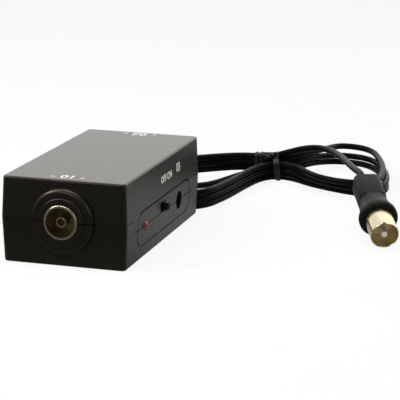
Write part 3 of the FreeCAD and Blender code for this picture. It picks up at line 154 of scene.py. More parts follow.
# Mouldings, rubber, ink and lacquers. Sizes in mm. The black ones have a low specular, because their
# grain is finer than the bump and breaks up what they mirror.
plasticFinishes = {
    # injection-moulded ABS from a spark-eroded mould: black, with an even, fine grain;
    # the real grain of 0.1 mm is drawn at 0.55 mm, to show
    "caseMoulding": {
        "colours": ("#080807", "#0c0c0a"), "patch": 14, "grain": 0.55, "depth": 0.03,
        "roughness": (0.28, 0.42), "ior": 1.55, "specular": 0.4, "tint": "#fff1cf",
    },
    # slide switch knob of moulded nylon: smooth and black
    "knobMoulding": {
        "colours": ("#050505", "#080808"), "patch": 2, "grain": 0.5, "depth": 0.004,
        "roughness": (0.32, 0.42), "ior": 1.48, "specular": 0.3,
    },
    # moulded epoxy of the transistors and other small housings: dull, slightly grey
    "blackEpoxy": {
        "colours": ("#0b0b0b", "#121211"), "patch": 1.5, "grain": 0.25, "depth": 0.01,
        "roughness": (0.5, 0.64), "ior": 1.55, "specular": 0.35,
    },
    # soft PVC moulded over the plug: dark grey with a dry, satin skin
    "plugMoulding": {
        "colours": ("#0b0b0a", "#11110f"), "patch": 5, "grain": 0.45, "depth": 0.02,
        "roughness": (0.42, 0.54), "ior": 1.52, "specular": 0.09, "tint": "#fff9e8",
    },
    # rubbery, soft PVC of the strain relief: dull, with a dusty bloom
    "softRubber": {
        "colours": ("#131312", "#1b1b19"), "patch": 2.5, "grain": 0.35, "depth": 0.015,
        "roughness": (0.6, 0.74), "ior": 1.5, "specular": 0.35,
    },
    # extruded PVC jacket of the lead: black, with a waxy highlight and faint drag marks
    "cableJacket": {
        "colours": ("#050504", "#090907"), "patch": 6, "grain": 0.7, "depth": 0.015,
        "roughness": (0.34, 0.44), "ior": 1.53, "specular": 0.045, "tint": "#fff9e8",
    },
    # glossy PVC ribbon of the wire tie
    "tieRibbon": {
        "colours": ("#0c0c0a", "#161613"), "patch": 1.6, "grain": 0.5, "depth": 0.02,
        "roughness": (0.2, 0.3), "ior": 1.53, "specular": 0.3,
    },
    # polyethylene disc of the aerial socket: cream, coloured darker as olive gold with the shade inside its
    # tube painted in, soft sheen
    "creamInsulator": {
        "colours": ("#675b34", "#7f7041"), "patch": 2, "grain": 0.3, "depth": 0.01,
        "roughness": (0.4, 0.52), "ior": 1.51, "specular": 0.5,
    },
    # laminated phenolic disc of the plug: pale tan, with darker flecks
    "tanInsulator": {
        "colours": ("#dcc690", "#f0e2b8"), "patch": 1.1, "grain": 0.3, "depth": 0.012,
        "roughness": (0.4, 0.55), "ior": 1.5, "specular": 0.5,
    },
    # foamed polyethylene round the inner conductor: milky white
    "dielectric": {
        "colours": ("#dfddd2", "#efeee6"), "patch": 1.5, "grain": 0.4, "depth": 0.005,
        "roughness": (0.35, 0.45), "ior": 1.51, "specular": 0.5,
    },
    # brown lacquer dipped over ceramic discs: glossy, uneven
    "ceramicDisc": {
        "colours": ("#9a5a22", "#b06c2e"), "patch": 1.1, "grain": 0.6, "depth": 0.03,
        "roughness": (0.2, 0.32), "ior": 1.5, "specular": 0.5,
    },
    # sintered manganese-zinc ferrite: charcoal, matt and granular
    "ferrite": {
        "colours": ("#26262a", "#37373b"), "patch": 0.5, "grain": 0.18, "depth": 0.02,
        "roughness": (0.6, 0.75), "ior": 1.6, "specular": 0.5,
    },
    # screen ink of the lettering: flat white with thin spots
    "whiteInk": {
        "colours": ("#d9d8cf", "#efeee8"), "patch": 0.5, "grain": 0.12, "depth": 0.004,
        "roughness": (0.55, 0.65), "ior": 1.5, "specular": 0.4,
    },
}


def makePlastic(name):
    finish = plasticFinishes[name]
    settings = {
        "IOR": finish["ior"],
        "Specular IOR Level": finish["specular"],
        "Specular Tint": linear(finish.get("tint", "#ffffff")),
    }
    return dress(name, settings, finish, finish["grain"], grainDetail=3)


# Metals: fine marks of turning or rolling, and a slight change of tint
metalFinishes = {
    # bright nickel plating on turned brass: warm, mirror-like, with fine marks
    "nickelPlate": {
        "colours": ("#cfc4a2", "#ddd2b6"), "patch": 3, "marks": 0.25, "depth": 0.002,
        "roughness": (0.18, 0.3),
    },
    # nickel plating of the plug's pin, rubbed to a pale satin by use
    "satinNickel": {
        "colours": ("#f2ede0", "#fbf8f0"), "patch": 1, "marks": 0.2, "depth": 0.003,
        "roughness": (0.46, 0.58),
    },
    # zinc-plated steel screws: bluish, duller
    "zincPlate": {
        "colours": ("#a9adb2", "#bcc0c2"), "patch": 1.2, "marks": 0.2, "depth": 0.004,
        "roughness": (0.28, 0.4),
    },
    # tinned sheet: pale, soft reflections with crystalline patches
    "tinnedSheet": {
        "colours": ("#b3b1a9", "#c6c4bb"), "patch": 1.6, "marks": 0.5, "depth": 0.006,
        "roughness": (0.3, 0.45),
    },
}


def makeMetal(name):
    finish = metalFinishes[name]
    return dress(name, {"Metallic": 1.0}, finish, finish["marks"], grainDetail=5)


finishes = {name: makePlastic(name) for name in plasticFinishes}
finishes.update({name: makeMetal(name) for name in metalFinishes})
print("materials made:", len(finishes))

# The lead: from the strain relief down behind the case, three times round the hank and over it
# to the plug. The points are those of the route, moved to lie as in the photograph.
lead = {
    "diameter": 2.4,
    # in metres
    "length": 1.1087,
    # where the tie holds the turns, and which way the strands run there, in degrees
    "waist": (35.5, 101.6),
    "waistHeading": 14,
    # from the strain relief down to the floor and behind the case
    "fall": [
        (0, 50.5, 14.85), (0, 56.5, 14.85), (1.4, 61.6, 12.4), (3.6, 65.6, 7.6), (7.8, 70.0, 2.2),
        (12.8, 77.6, 1.2), (16.6, 86.0, 1.2), (18.8, 93.2, 1.2), (20.4, 97.6, 1.35), (22.9, 100.2, 1.7),
    ],
    # each time round: right from the tie, the far side, the right end and the near side, and then the left
    "rounds": [
        [
            (28.9, 101.7, 1.7), (34.4, 103.0, 1.7), (40.4, 105.4, 3.9), (44.2, 113.4, 4.3),
            (47.2, 123.8, 3.3), (54.4, 134.2, 1.9), (66.2, 132.2, 1.5), (74.6, 115.6, 1.25),
            (78.6, 99.0, 1.2), (79.4, 90.0, 1.2), (75.6, 83.8, 1.2), (68.0, 84.6, 1.2),
            (59.0, 88.4, 1.2), (49.6, 93.6, 1.2), (42.6, 98.8, 1.5),
            (35.6, 100.4, 1.7), (30.0, 94.6, 1.6), (27.0, 80.5, 1.2), (25.4, 64.5, 1.2),
            (20.7, 42.5, 1.2), (-0.6, 42.5, 1.2), (-13.8, 56.4, 1.2), (-12.4, 76.0, 1.2),
            (-2.2, 90.6, 2.6), (9.6, 98.6, 3.1), (20.6, 101.0, 4.2),
        ],
        [
            (28.9, 101.7, 4.15), (34.4, 103.0, 4.4), (40.8, 105.6, 6.4), (44.8, 113.6, 6.8),
            (47.8, 124.2, 5.8), (55.2, 134.9, 4.4), (66.8, 132.9, 4.0), (74.4, 117.2, 3.7),
            (79.0, 99.6, 3.65), (78.6, 84.0, 3.65), (68.4, 81.8, 3.65), (57.4, 86.4, 3.65),
            (49.2, 93.2, 3.65), (42.8, 98.8, 4.0),
            (35.6, 100.4, 4.15), (30.1, 94.8, 4.2), (26.9, 80.6, 3.65), (25.3, 64.7, 3.65),
            (20.7, 43.1, 3.65), (-0.5, 43.0, 3.65), (-13.8, 56.5, 3.65), (-12.4, 76.0, 3.65),
            (-2.2, 90.6, 5.05), (9.6, 98.6, 5.6), (20.6, 101.0, 6.55),
        ],
        [
            (28.9, 101.7, 6.6), (34.4, 103.2, 7.1), (41.2, 106.0, 8.9), (45.4, 114.0, 9.35),
            (48.4, 126.0, 8.2), (52.6, 140.6, 7.4), (65.4, 138.6, 6.9), (72.0, 123.0, 6.2),
            (76.8, 103.6, 6.1), (78.0, 82.4, 6.1), (66.6, 79.6, 6.1), (55.6, 84.6, 6.1),
            (48.4, 92.4, 6.2), (43.0, 98.8, 6.6),
            (35.6, 100.4, 6.65), (30.2, 95.0, 6.62), (26.8, 80.7, 6.15), (25.2, 64.9, 6.1),
            (20.7, 43.6, 6.1), (-0.4, 43.5, 6.1), (-13.8, 56.6, 6.1), (-12.4, 76.0, 6.1),
            (-2.2, 90.6, 7.5), (9.6, 98.6, 8.05), (20.6, 101.0, 8.95),
        ],
    ],
    # each time round lies on the one before, and this much nearer
    "lean": -0.5,
    # the stretch back over the turns, towards the plug
    "over": [
        (28.9, 100.3, 9.1), (34.6, 101.6, 9.5), (39.6, 103.4, 11.0), (45.2, 104.2, 12.6),
        (52.0, 100.8, 14.0), (58.4, 93.6, 14.5), (63.8, 83.0, 15.0), (68.4, 71.6, 15.4), (73.0, 59.9, 16.0),
    ],
    # into the plug: how far behind its rear, and how far above its axis
    "entry": ((6, 0.5), (0.1, 0)),
}
reliefEnd = lead["fall"][0]
plug = {
    # where the middle of its mouth is, its heading and tilt in degrees, and its length
    "tip": (92.9, 13.2, 4.577),
    "heading": 22.5,
    "tilt": 16.8,
    "length": 34,
}
plugTurn = (
    Matrix.Rotation(math.radians(plug["heading"]), 4, "Z")
    @ Matrix.Rotation(math.radians(plug["tilt"]), 4, "X")
)
plugBack = plugTurn @ Vector((0, 1, 0))
plugRear = Vector(plug["tip"]) + plugBack * plug["length"]


def makeLine(name, points, diameter, material):
    data = bpy.data.curves.new(name, "CURVE")
    data.dimensions = "3D"
    data.resolution_u = 10
    data.bevel_depth = diameter * millimetre / 2
    data.bevel_resolution = 5
    data.use_fill_caps = True
    line = data.splines.new("NURBS")
    line.points.add(len(points) - 1)
    for point, place in zip(line.points, points):
        point.co = (*(Vector(place) * millimetre), 1)
    line.order_u = 3
    line.use_endpoint_u = True
    data.materials.append(material)
    body = bpy.data.objects.new(name, data)
    bpy.context.scene.collection.objects.link(body)
    return body


def leadRoute():
    points = [Vector(point) for point in lead["fall"]]
    for times, once in enumerate(lead["rounds"]):
        points += [Vector(point) + Vector((0, lead["lean"] * times, 0)) for point in once]
    points += [Vector(point) for point in lead["over"]]
    return points + [plugRear + plugBack * behind + Vector((0, 0, above)) for behind, above in lead["entry"]]


leadLine = leadRoute()
leadCord = makeLine("leadCord", leadLine, lead["diameter"], finishes["cableJacket"])
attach(leadCord, "case")
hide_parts("lead_start", "lead_hank", "lead_end")
print("lead laid:", len(leadLine), "points")

# The stretch inside the case, from the board's saddle up into the strain relief
insideLine = [(0, 12.3, 5.8), (0, 17.9, 5.8), (0, 23.7, 8.1), (0, 28.2, 12.55), (0, 34.0, 14.85), reliefEnd]
leadInside = makeLine("leadInside", insideLine, lead["diameter"], finishes["cableJacket"])
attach(leadInside, "case")
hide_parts("lead_tail")


def finishPiece(name, mesh, material, body, nodes, place=None, angle=35):
    # the piece sits where its mesh is, with its object at the origin
    if place is not None:
        mesh.transform(place)
    bmesh.ops.scale(mesh, vec=(millimetre,) * 3, verts=mesh.verts)
    bmesh.ops.recalc_face_normals(mesh, faces=mesh.faces)
    for face in mesh.faces:
        face.smooth = True
    for edge in mesh.edges:
        if len(edge.link_faces) == 2 and edge.calc_face_angle(0) > math.radians(angle):
            edge.smooth = False
    data = bpy.data.meshes.new(name)
    mesh.to_mesh(data)
    mesh.free()
    data.materials.append(material)
    piece = bpy.data.objects.new(name, data)
    bpy.context.scene.collection.objects.link(piece)
    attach(piece, body)
    if nodes:
        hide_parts(*nodes)
    return piece


def softenEdges(mesh, width, segments, angle=30):
    sharp = [
        e for e in mesh.edges
        if len(e.link_faces) == 2 and e.calc_face_angle(0) > math.radians(angle)
    ]
    bmesh.ops.bevel(
        mesh, geom=sharp, offset=width, offset_type="OFFSET", segments=segments, profile=0.5,
        affect="EDGES", material=-1, clamp_overlap=True,
    )


def turnedForm(outline, steps):
    # outline: distance along Y and radius, spun once round the Y axis
    mesh = bmesh.new()
    corners = [mesh.verts.new((0, along, radius)) for along, radius in outline]
    edges = [mesh.edges.new((a, b)) for a, b in zip(corners, corners[1:] + corners[:1])]
    bmesh.ops.spin(
        mesh, geom=corners + edges, cent=(0, 0, 0), axis=(0, 1, 0), angle=math.tau, steps=steps,
        use_merge=True,
    )
    bmesh.ops.remove_doubles(mesh, verts=mesh.verts, dist=0.001)
    bmesh.ops.recalc_face_normals(mesh, faces=mesh.faces)
    return mesh


def blockForm(size, middle, width=0.0, segments=2):
    mesh = bmesh.new()
    bmesh.ops.create_cube(mesh, size=1)
    bmesh.ops.scale(mesh, vec=size, verts=mesh.verts)
    bmesh.ops.translate(mesh, vec=middle, verts=mesh.verts)
    if width:
        softenEdges(mesh, width, segments)
    return mesh


def addForm(mesh, other):
    data = bpy.data.meshes.new("joined")
    other.to_mesh(data)
    other.free()
    mesh.from_mesh(data)
    bpy.data.meshes.remove(data)


# Strain relief: flange inside the wall, neck through it, and a tapered sleeve with rings
relief = {
    # from, to, and radius
    "flange": (36.69, 38.28, 4.3),
    "neck": 3.0,
    "sleeve": (40.7, 50.5),
    "root": 3.4,
    "tip": 2.0,
    "bore": 1.3,
    # rings along the sleeve: the first groove's place, the plain end, and each groove's form
    "rings": 5,
    "firstGroove": 1.3,
    "plainEnd": 0.3,
    "grooveDepth": 0.45,
    "grooveWidth": 0.7,
    "grooveSlope": 0.1,
    "softened": 0.08,
}


def makeRelief():
    start, end = relief["sleeve"]
    flangeIn, flangeOut, flangeRadius = relief["flange"]

    def coneRadius(along):
        return relief["root"] + (relief["tip"] - relief["root"]) * (along - start) / (end - start)

    outline = [(flangeIn, relief["bore"]), (flangeIn, flangeRadius), (flangeOut, flangeRadius)]
    outline += [(flangeOut, relief["neck"]), (start, relief["neck"]), (start, coneRadius(start))]
    pitch = (end - start - relief["firstGroove"] - relief["plainEnd"]) / relief["rings"]
    slope = relief["grooveSlope"]
    for ring in range(relief["rings"]):
        near = start + relief["firstGroove"] + ring * pitch
        far = near + relief["grooveWidth"]
        deep = coneRadius(near) - relief["grooveDepth"]
        outline += [(near, coneRadius(near)), (near + slope, deep)]
        outline += [(far - slope, deep), (far, coneRadius(far))]
    outline += [(end, relief["tip"]), (end, relief["bore"])]
    mesh = turnedForm(outline, steps=48)
    softenEdges(mesh, relief["softened"], segments=1)
    bmesh.ops.translate(mesh, vec=(0, 0, reliefEnd[2]), verts=mesh.verts)
    return finishPiece("reliefSleeve", mesh, finishes["softRubber"], "case", ["lead_relief"])


makeRelief()
print("strain relief made")

# Aerial plug, drawn along +Y from its mouth and then placed at the end of the lead
plugPlace = Matrix.Translation(Vector(plug["tip"])) @ plugTurn
plugBody = {
    # flange: front, back, radius, and the rounding of both edges
    "flange": (9.5, 12.9, 6.6),
    "flangeRound": (1.3, 0.9),
    # the hole for the shell: its radius, where it ends, and the radius of the narrower hole in its end
    "bore": 4.78,
    "seat": 12.5,
    "core": 2.4,
    # sections of the neck from the flange back to the block: place, half width, half height, rounding
    "neck": [
        (12.7, 6.2, 6.2, 6.2), (13.6, 6.05, 6.0, 6.0), (14.8, 5.75, 5.65, 5.6), (16.2, 5.4, 5.25, 5.0),
        (17.8, 5.0, 4.85, 4.2), (19.6, 4.65, 4.5, 3.2), (21.4, 4.4, 4.3, 2.4),
    ],
    "grip": (20.6, 34),
    "gripWidth": 9.2,
    "gripHeight": 7.9,
    "gripLift": 0.45,
    # the grip's long edges are rounded well, the ends only a little
    "gripRound": 2.1,
    "gripEnds": 0.7,
}


def roundedSection(mesh, along, halfWidth, halfHeight, rounding, steps=8):
    # a rectangle with round corners, across the Y axis
    corners = []
    for quarter, (x, z) in enumerate(((1, 1), (-1, 1), (-1, -1), (1, -1))):
        for step in range(steps + 1):
            turn = math.radians(90 * (quarter + step / steps))
            corners.append(mesh.verts.new((
                x * (halfWidth - rounding) + rounding * math.cos(turn),
                along,
                z * (halfHeight - rounding) + rounding * math.sin(turn),
            )))
    return [mesh.edges.new((a, b)) for a, b in zip(corners, corners[1:] + corners[:1])]


def arcPoints(along, radius, size, start, end, steps):
    # points of an arc in an outline, its angles in degrees from straight out towards +Y
    turns = [math.radians(start + (end - start) * step / steps) for step in range(steps + 1)]
    return [(along + size * math.sin(turn), radius + size * math.cos(turn)) for turn in turns]


def makePlugBody():
    front, back, radius = plugBody["flange"]
    frontRound, backRound = plugBody["flangeRound"]
    bore = plugBody["bore"]
    core = plugBody["core"]
    seat = plugBody["seat"]
    outline = [(front, bore)]
    outline += arcPoints(front + frontRound, radius - frontRound, frontRound, start=-90, end=0, steps=5)
    outline += arcPoints(back - backRound, radius - backRound, backRound, start=0, end=90, steps=4)
    outline += [(back, core), (seat, core), (seat, bore)]
    mesh = turnedForm(outline, steps=72)
    neck = bmesh.new()
    rings = [roundedSection(neck, *section) for section in plugBody["neck"]]
    for ring, following in zip(rings, rings[1:]):
        bmesh.ops.bridge_loops(neck, edges=ring + following)
    bmesh.ops.edgeloop_fill(neck, edges=rings[0])
    bmesh.ops.edgeloop_fill(neck, edges=rings[-1])
    addForm(mesh, neck)
    return finishPiece(
        "plugNeck", mesh, finishes["plugMoulding"], "case", ["plug_body"], plugPlace,
    )


def makePlugGrip():
    start, end = plugBody["grip"]
    size = (plugBody["gripWidth"], end - start, plugBody["gripHeight"])
    mesh = blockForm(size, (0, (start + end) / 2, plugBody["gripLift"]))
    lengthwise = [e for e in mesh.edges if abs(e.verts[0].co.y - e.verts[1].co.y) > 1]
    bmesh.ops.bevel(
        mesh, geom=lengthwise, offset=plugBody["gripRound"], offset_type="OFFSET", segments=5, profile=0.5,
        affect="EDGES", material=-1,
    )
    softenEdges(mesh, plugBody["gripEnds"], segments=4, angle=60)
    return finishPiece("plugGrip", mesh, finishes["plugMoulding"], "case", [], plugPlace)


# Outer contact of the plug: rolled from sheet, with one slit that lets it spring, and a keying notch
plugShell = {
    "outer": 4.76,
    "inner": 4.4,
    "rear": 12.45,
    "root": 8.6,
    "slitAt": 158,
    "slit": 7,
    "notchAt": 97,
    "notch": 13,
    "notchDepth": 0.8,
    # the mouth: how far its inner edge is broken, and its outer edge from the tube to the face, as
    # distances back from the face and in from the outside
    "chamfer": 0.12,
    "rim": ((0.5, 0), (0.1, 0.04), (0, 0.14)),
    "degreesPerStep": 3,
}


def shellPart(outline, start, end):
    # part of a turned ring, from one angle to another, closed at both ends
    mesh = bmesh.new()
    corners = [mesh.verts.new((radius, along, 0)) for along, radius in outline]
    edges = [mesh.edges.new((a, b)) for a, b in zip(corners, corners[1:] + corners[:1])]
    bmesh.ops.edgeloop_fill(mesh, edges=edges)
    turn = Matrix.Rotation(-math.radians(start), 3, "Y")
    bmesh.ops.rotate(mesh, cent=(0, 0, 0), matrix=turn, verts=mesh.verts)
    last = bmesh.ops.spin(
        mesh, geom=corners + edges, cent=(0, 0, 0), axis=(0, -1, 0), angle=math.radians(end - start),
        steps=max(4, round((end - start) / plugShell["degreesPerStep"])), use_merge=False,
    )["geom_last"]
    bmesh.ops.edgeloop_fill(mesh, edges=[g for g in last if isinstance(g, bmesh.types.BMEdge)])
    return mesh


def makePlugShell():
    outer = plugShell["outer"]
    inner = plugShell["inner"]
    root = plugShell["root"]
    rear = plugShell["rear"]
    mesh = turnedForm([(root, inner), (root, outer), (rear, outer), (rear, inner)], steps=72)

    def mouth(face):
        chamfer = plugShell["chamfer"]
        inside = [(face, inner + chamfer), (face + chamfer, inner), (root, inner), (root, outer)]
        return inside + [(face + back, outer - inwards) for back, inwards in plugShell["rim"]]

    slitStart = plugShell["slitAt"] - plugShell["slit"] / 2
    slitEnd = slitStart + plugShell["slit"]
    notchStart = plugShell["notchAt"] - plugShell["notch"] / 2
    notchEnd = notchStart + plugShell["notch"]
    addForm(mesh, shellPart(mouth(0), slitEnd - 360, notchStart))
    addForm(mesh, shellPart(mouth(plugShell["notchDepth"]), notchStart, notchEnd))
    addForm(mesh, shellPart(mouth(0), notchEnd, slitStart))
    return finishPiece(
        "plugShell", mesh, finishes["nickelPlate"], "case", ["plug_shell"], plugPlace,
    )


plugNeck = makePlugBody()
plugGrip = makePlugGrip()
plugShellPiece = makePlugShell()
print("plug made")

# Slide switch: the knob with ribs on its face, on the plate that slides behind the wall
knob = {
    # the plate: its thickness, and the corners of the room that it and the knob take up
    "low": (15.333, -2.9, 9.75),
    "high": (22.6, 1.9, 14.75),
    "plate": 1.1,
    "plateEdge": 0.1,
    # the knob: its middle, its width and height, and the edge round its face
    "middle": (-0.5, 12.25),
    "size": (2.8, 2.9),
    "edge": 0.3,
    # ribs on the face: how many, their pitch, how far they stand out, and each block's size and edge
    "ribs": 3,
    "ribPitch": 0.82,
    "ribHeight": 0.45,
    "ribSize": (1.0, 0.42, 2.4),
    "ribEdge": 0.15,
}


def makeKnob():
    lowX, lowY, lowZ = knob["low"]
    highX, highY, highZ = knob["high"]
    midY, midZ = knob["middle"]
    mesh = blockForm(
        (knob["plate"], highY - lowY, highZ - lowZ),
        (lowX + knob["plate"] / 2, (lowY + highY) / 2, (lowZ + highZ) / 2),
        knob["plateEdge"],
    )
    reach = highX - knob["ribHeight"] - lowX
    middle = (lowX + reach / 2, midY, midZ)
    addForm(mesh, blockForm((reach, *knob["size"]), middle, knob["edge"], segments=3))
    for rib in range(knob["ribs"]):
        ribY = midY + (rib - (knob["ribs"] - 1) / 2) * knob["ribPitch"]
        ribX = highX - knob["ribSize"][0] / 2
        addForm(mesh, blockForm(knob["ribSize"], (ribX, ribY, midZ), knob["ribEdge"]))
    return finishPiece(
        "switchKnob", mesh, finishes["knobMoulding"], "knob", ["switch_knob"],
    )


makeKnob()
print("switch knob made")

# Wire tie: a flat ribbon over a wire. Two turns hold the rear column of the hank, one turn all of
# it, a strap joins them, and the ends are twisted. Drawn along X through the waist.
tie = {
    "thickness": 0.4,
    "ridge": 0.3,
    "clearance": 0.06,
    # the section from an edge to the ridge: the edge's height as a share of the thickness, the shoulder
    # in from the edge and the ridge's foot out from the middle with theirs, and a place on the ridge's
    # side with its share of the ridge
    "edgeHeight": 0.55,
    "shoulder": (0.2, 0.75),
    "ridgeFoot": (0.4, 0.8),
    "ridgeSide": (0.22, 0.7),
    # strands that the turns go round, across the hank and up from the floor
    "frontLow": (-2.15, 1.7),
    "frontHigh": (-3.12, 6.6),
    "rearHigh": (0.17, 9.1),
    "rearLow": (1.62, 1.7),
    # place along the hank, width, and how far its top leans back, from a height at which it doesn't
    "rearTurns": ((-8.3, 1.9, 0.0), (-6.3, 1.9, 0.02)),
    "frontTurn": (-0.7, 2.1, 0.13),
    "leanFrom": 5.6,
    "lowest": 0.02,
    "degreesPerStep": 12,
    # strap from the rear turns to the front one: the way that it faces in degrees, and its width
    "strap": (35, 1.8),
    # twisted ends: from and to, half their width, turns, steps, and the softened edge
    "twist": ((-5.4, -2.3, 8.7), (-0.1, -1.9, 11.0)),
    "twistRadius": 0.95,
    "twistTurns": 1.6,
    "twistSteps": 36,
    "twistSoftened": 0.12,
}
tiePlace = (
    Matrix.Translation(Vector((*lead["waist"], 0)))
    @ Matrix.Rotation(math.radians(lead["waistHeading"]), 4, "Z")
)


def ribbonSection(mesh, width):
    # cross-section in the plane of X and Z: flat below, and rounded above up to the wire's ridge
    half = width / 2
    thick = tie["thickness"]
    ridge = tie["ridge"]
    shoulderIn, shoulderHeight = tie["shoulder"]
    footOut, footHeight = tie["ridgeFoot"]
    sideOut, sideHeight = tie["ridgeSide"]
    side = [
        (half, 0), (half, thick * tie["edgeHeight"]), (half - shoulderIn, thick * shoulderHeight),
        (footOut, thick * footHeight), (sideOut, thick + ridge * sideHeight),
    ]
    outline = side + [(0, thick + ridge)] + [(-x, z) for x, z in reversed(side)]
    corners = [mesh.verts.new((x, 0, z)) for x, z in outline]
    edges = [mesh.edges.new((a, b)) for a, b in zip(corners, corners[1:] + corners[:1])]
    return corners + edges


def ribbonTurn(strands, along, width, lean):
    # a closed turn round the strands, which are given in order from the lowest in front
    mesh = bmesh.new()
    edge = ribbonSection(mesh, width)
    reach = lead["diameter"] / 2 + tie["clearance"]
    # it starts under the first strand, facing down
    bmesh.ops.translate(mesh, vec=(0, 0, reach), verts=mesh.verts)
    bmesh.ops.rotate(mesh, cent=(0, 0, 0), matrix=Matrix.Rotation(math.pi, 3, "X"), verts=mesh.verts)
    bmesh.ops.translate(mesh, vec=(0, *strands[0]), verts=mesh.verts)
    facing = math.radians(-90)
    # a turn of less than this many radians is none
    least = 0.001
    for strand, following in zip(strands + strands[:1], strands[1:] + strands[:1] + [None]):
        # round the strand until it faces the way of the next stretch, then straight to the next strand
        step = Vector(following) - Vector(strand) if following else Vector((-1, 0))
        outward = math.atan2(-step.x, step.y) if following else math.radians(-90)
        turn = (outward - facing + least) % math.tau - least
        if turn > least:
            edge = bmesh.ops.spin(
                mesh, geom=edge, cent=(0, *strand), axis=(1, 0, 0), angle=turn,
                steps=max(2, round(math.degrees(turn) / tie["degreesPerStep"])), use_merge=False,
            )["geom_last"]
        if following:
            edge = bmesh.ops.spin(
                mesh, geom=edge, cent=(0, 0, 0), axis=(1, 0, 0), dvec=(0, *step), angle=0, steps=1,
                use_merge=False,
            )["geom_last"]
        facing = outward
    bmesh.ops.remove_doubles(mesh, verts=mesh.verts, dist=0.002)
    # the top leans back along the hank, and the ribbon is pressed flat where it lies on the floor
    leaning = Matrix.Identity(4)
    leaning[0][2] = -lean
    leaning[0][3] = lean * tie["leanFrom"]
    mesh.transform(Matrix.Translation((along, 0, 0)) @ leaning)
    for vertex in mesh.verts:
        vertex.co.z = max(vertex.co.z, tie["lowest"])
    return mesh


def ribbonStrap(start, end, outward, width):
    # a straight strip on top of a strand, from one turn to the other
    mesh = bmesh.new()
    section = ribbonSection(mesh, width)
    bmesh.ops.edgeloop_fill(mesh, edges=section[len(section) // 2:])
    last = bmesh.ops.spin(
        mesh, geom=section, cent=(0, 0, 0), axis=(1, 0, 0), dvec=(0, end - start, 0), angle=0, steps=1,
        use_merge=False,
    )["geom_last"]
    bmesh.ops.edgeloop_fill(mesh, edges=[g for g in last if isinstance(g, bmesh.types.BMEdge)])
    bmesh.ops.translate(mesh, vec=(0, start, lead["diameter"] / 2 + tie["clearance"]), verts=mesh.verts)
    mesh.transform(
        Matrix.Translation((0, *tie["rearHigh"]))
        @ Matrix.Rotation(math.radians(outward), 4, "X")
        @ Matrix.Rotation(math.radians(-90), 4, "Z")
    )
    return mesh


def twistedEnds():
    # two wires under the ribbon, wound round each other; the section is half as high as it is wide
    mesh = bmesh.new()
    radius = tie["twistRadius"]
    upper = [(-1, 0.35), (-0.6, 0.9), (0, 0.5), (0.6, 0.9), (1, 0.35)]
    outline = upper + [(x, -z) for x, z in reversed(upper)]
    corners = [mesh.verts.new((radius * x, 0, radius * z / 2)) for x, z in outline]
    edges = [mesh.edges.new((a, b)) for a, b in zip(corners, corners[1:] + corners[:1])]
    bmesh.ops.edgeloop_fill(mesh, edges=edges)
    start, end = (Vector(point) for point in tie["twist"])
    steps = tie["twistSteps"]
    last = bmesh.ops.spin(
        mesh, geom=corners + edges, cent=(0, 0, 0), axis=(0, 1, 0), dvec=(0, (end - start).length / steps, 0),
        angle=math.tau * tie["twistTurns"], steps=steps, use_merge=False,
    )["geom_last"]
    bmesh.ops.edgeloop_fill(mesh, edges=[g for g in last if isinstance(g, bmesh.types.BMEdge)])
    softenEdges(mesh, tie["twistSoftened"], segments=2, angle=60)
    mesh.transform(Matrix.Translation(start) @ (end - start).to_track_quat("Y", "Z").to_matrix().to_4x4())
    return mesh


def makeTie():
    rear = [tie["rearLow"], tie["rearHigh"]]
    front = [tie["frontLow"], tie["rearLow"], tie["rearHigh"], tie["frontHigh"]]
    mesh = ribbonTurn(front, *tie["frontTurn"])
    for turn in tie["rearTurns"]:
        addForm(mesh, ribbonTurn(rear, *turn))
    addForm(mesh, ribbonStrap(tie["rearTurns"][-1][0], tie["frontTurn"][0], *tie["strap"]))
    addForm(mesh, twistedEnds())
    return finishPiece(
        "tieRibbon", mesh, finishes["tieRibbon"], "case", ["twist_tie"], tiePlace, angle=50,
    )


twistTie = makeTie()
print("wire tie made")

# Lettering: plain numbers for the sockets, and ON and OFF at the switch
ink = {
    "thickness": 0.02,
    # how far the outline of each letter is moved outwards
    "weight": 0.09,
    # a capital letter's share of the type size
    "capitals": 0.7,
}
# the right wall of the case: its place at the seam, the seam's height, and its draft in degrees
sideWall = {"place": 21, "seam": 14.85, "draft": 2.2}
lettering = [
    # words, height of the letters, middle, direction of reading, direction of up
    ("- 01 -", 3.6, (0, -35.4, 28.0), (1, 0, 0), (0, 1, 0)),
    ("- 02 -", 3.9, (0, 36.4, 28.0), (-1, 0, 0), (0, -1, 0)),
    ("OFF", 2.3, (0, -0.9, 21.35), (0, 1, 0), None),
    ("ON", 2.3, (0, 5.6, 21.35), (0, 1, 0), None),
    ("03", 3.0, (0, 15.6, 21.9), (0, 1, 0), None),
]


def makeLettering():
    draft = math.radians(sideWall["draft"])
    made = bmesh.new()
    for words, height, middle, right, up in lettering:
        data = bpy.data.curves.new("letters", "FONT")
        data.body = words
        data.align_x = "CENTER"
        data.align_y = "CENTER"
        data.size = height / ink["capitals"]
        data.extrude = ink["thickness"] / 2
        data.offset = ink["weight"]
        data.resolution_u = 4
        text = bpy.data.objects.new("letters", data)
        bpy.context.scene.collection.objects.link(text)
        bpy.context.view_layer.update()
        shape = bpy.data.meshes.new_from_object(text.evaluated_get(bpy.context.evaluated_depsgraph_get()))
        bpy.data.objects.remove(text)
        place = Vector(middle)
        if up is None:
            # on the side wall, which leans in above the seam
            up = (-math.sin(draft), 0, math.cos(draft))
            place.x = sideWall["place"] - (place.z - sideWall["seam"]) * math.tan(draft)
        right = Vector(right)
        up = Vector(up)
        out = right.cross(up)
        turn = Matrix((right, up, out)).transposed().to_4x4()
        shape.transform(Matrix.Translation(place + out * ink["thickness"] / 2) @ turn)
        made.from_mesh(shape)
        bpy.data.meshes.remove(shape)
    return finishPiece("lettering", made, finishes["whiteInk"], "case", [], angle=20)


makeLettering()
print("lettering set")

# Finishes of the parts that the frame brings, by their material slot


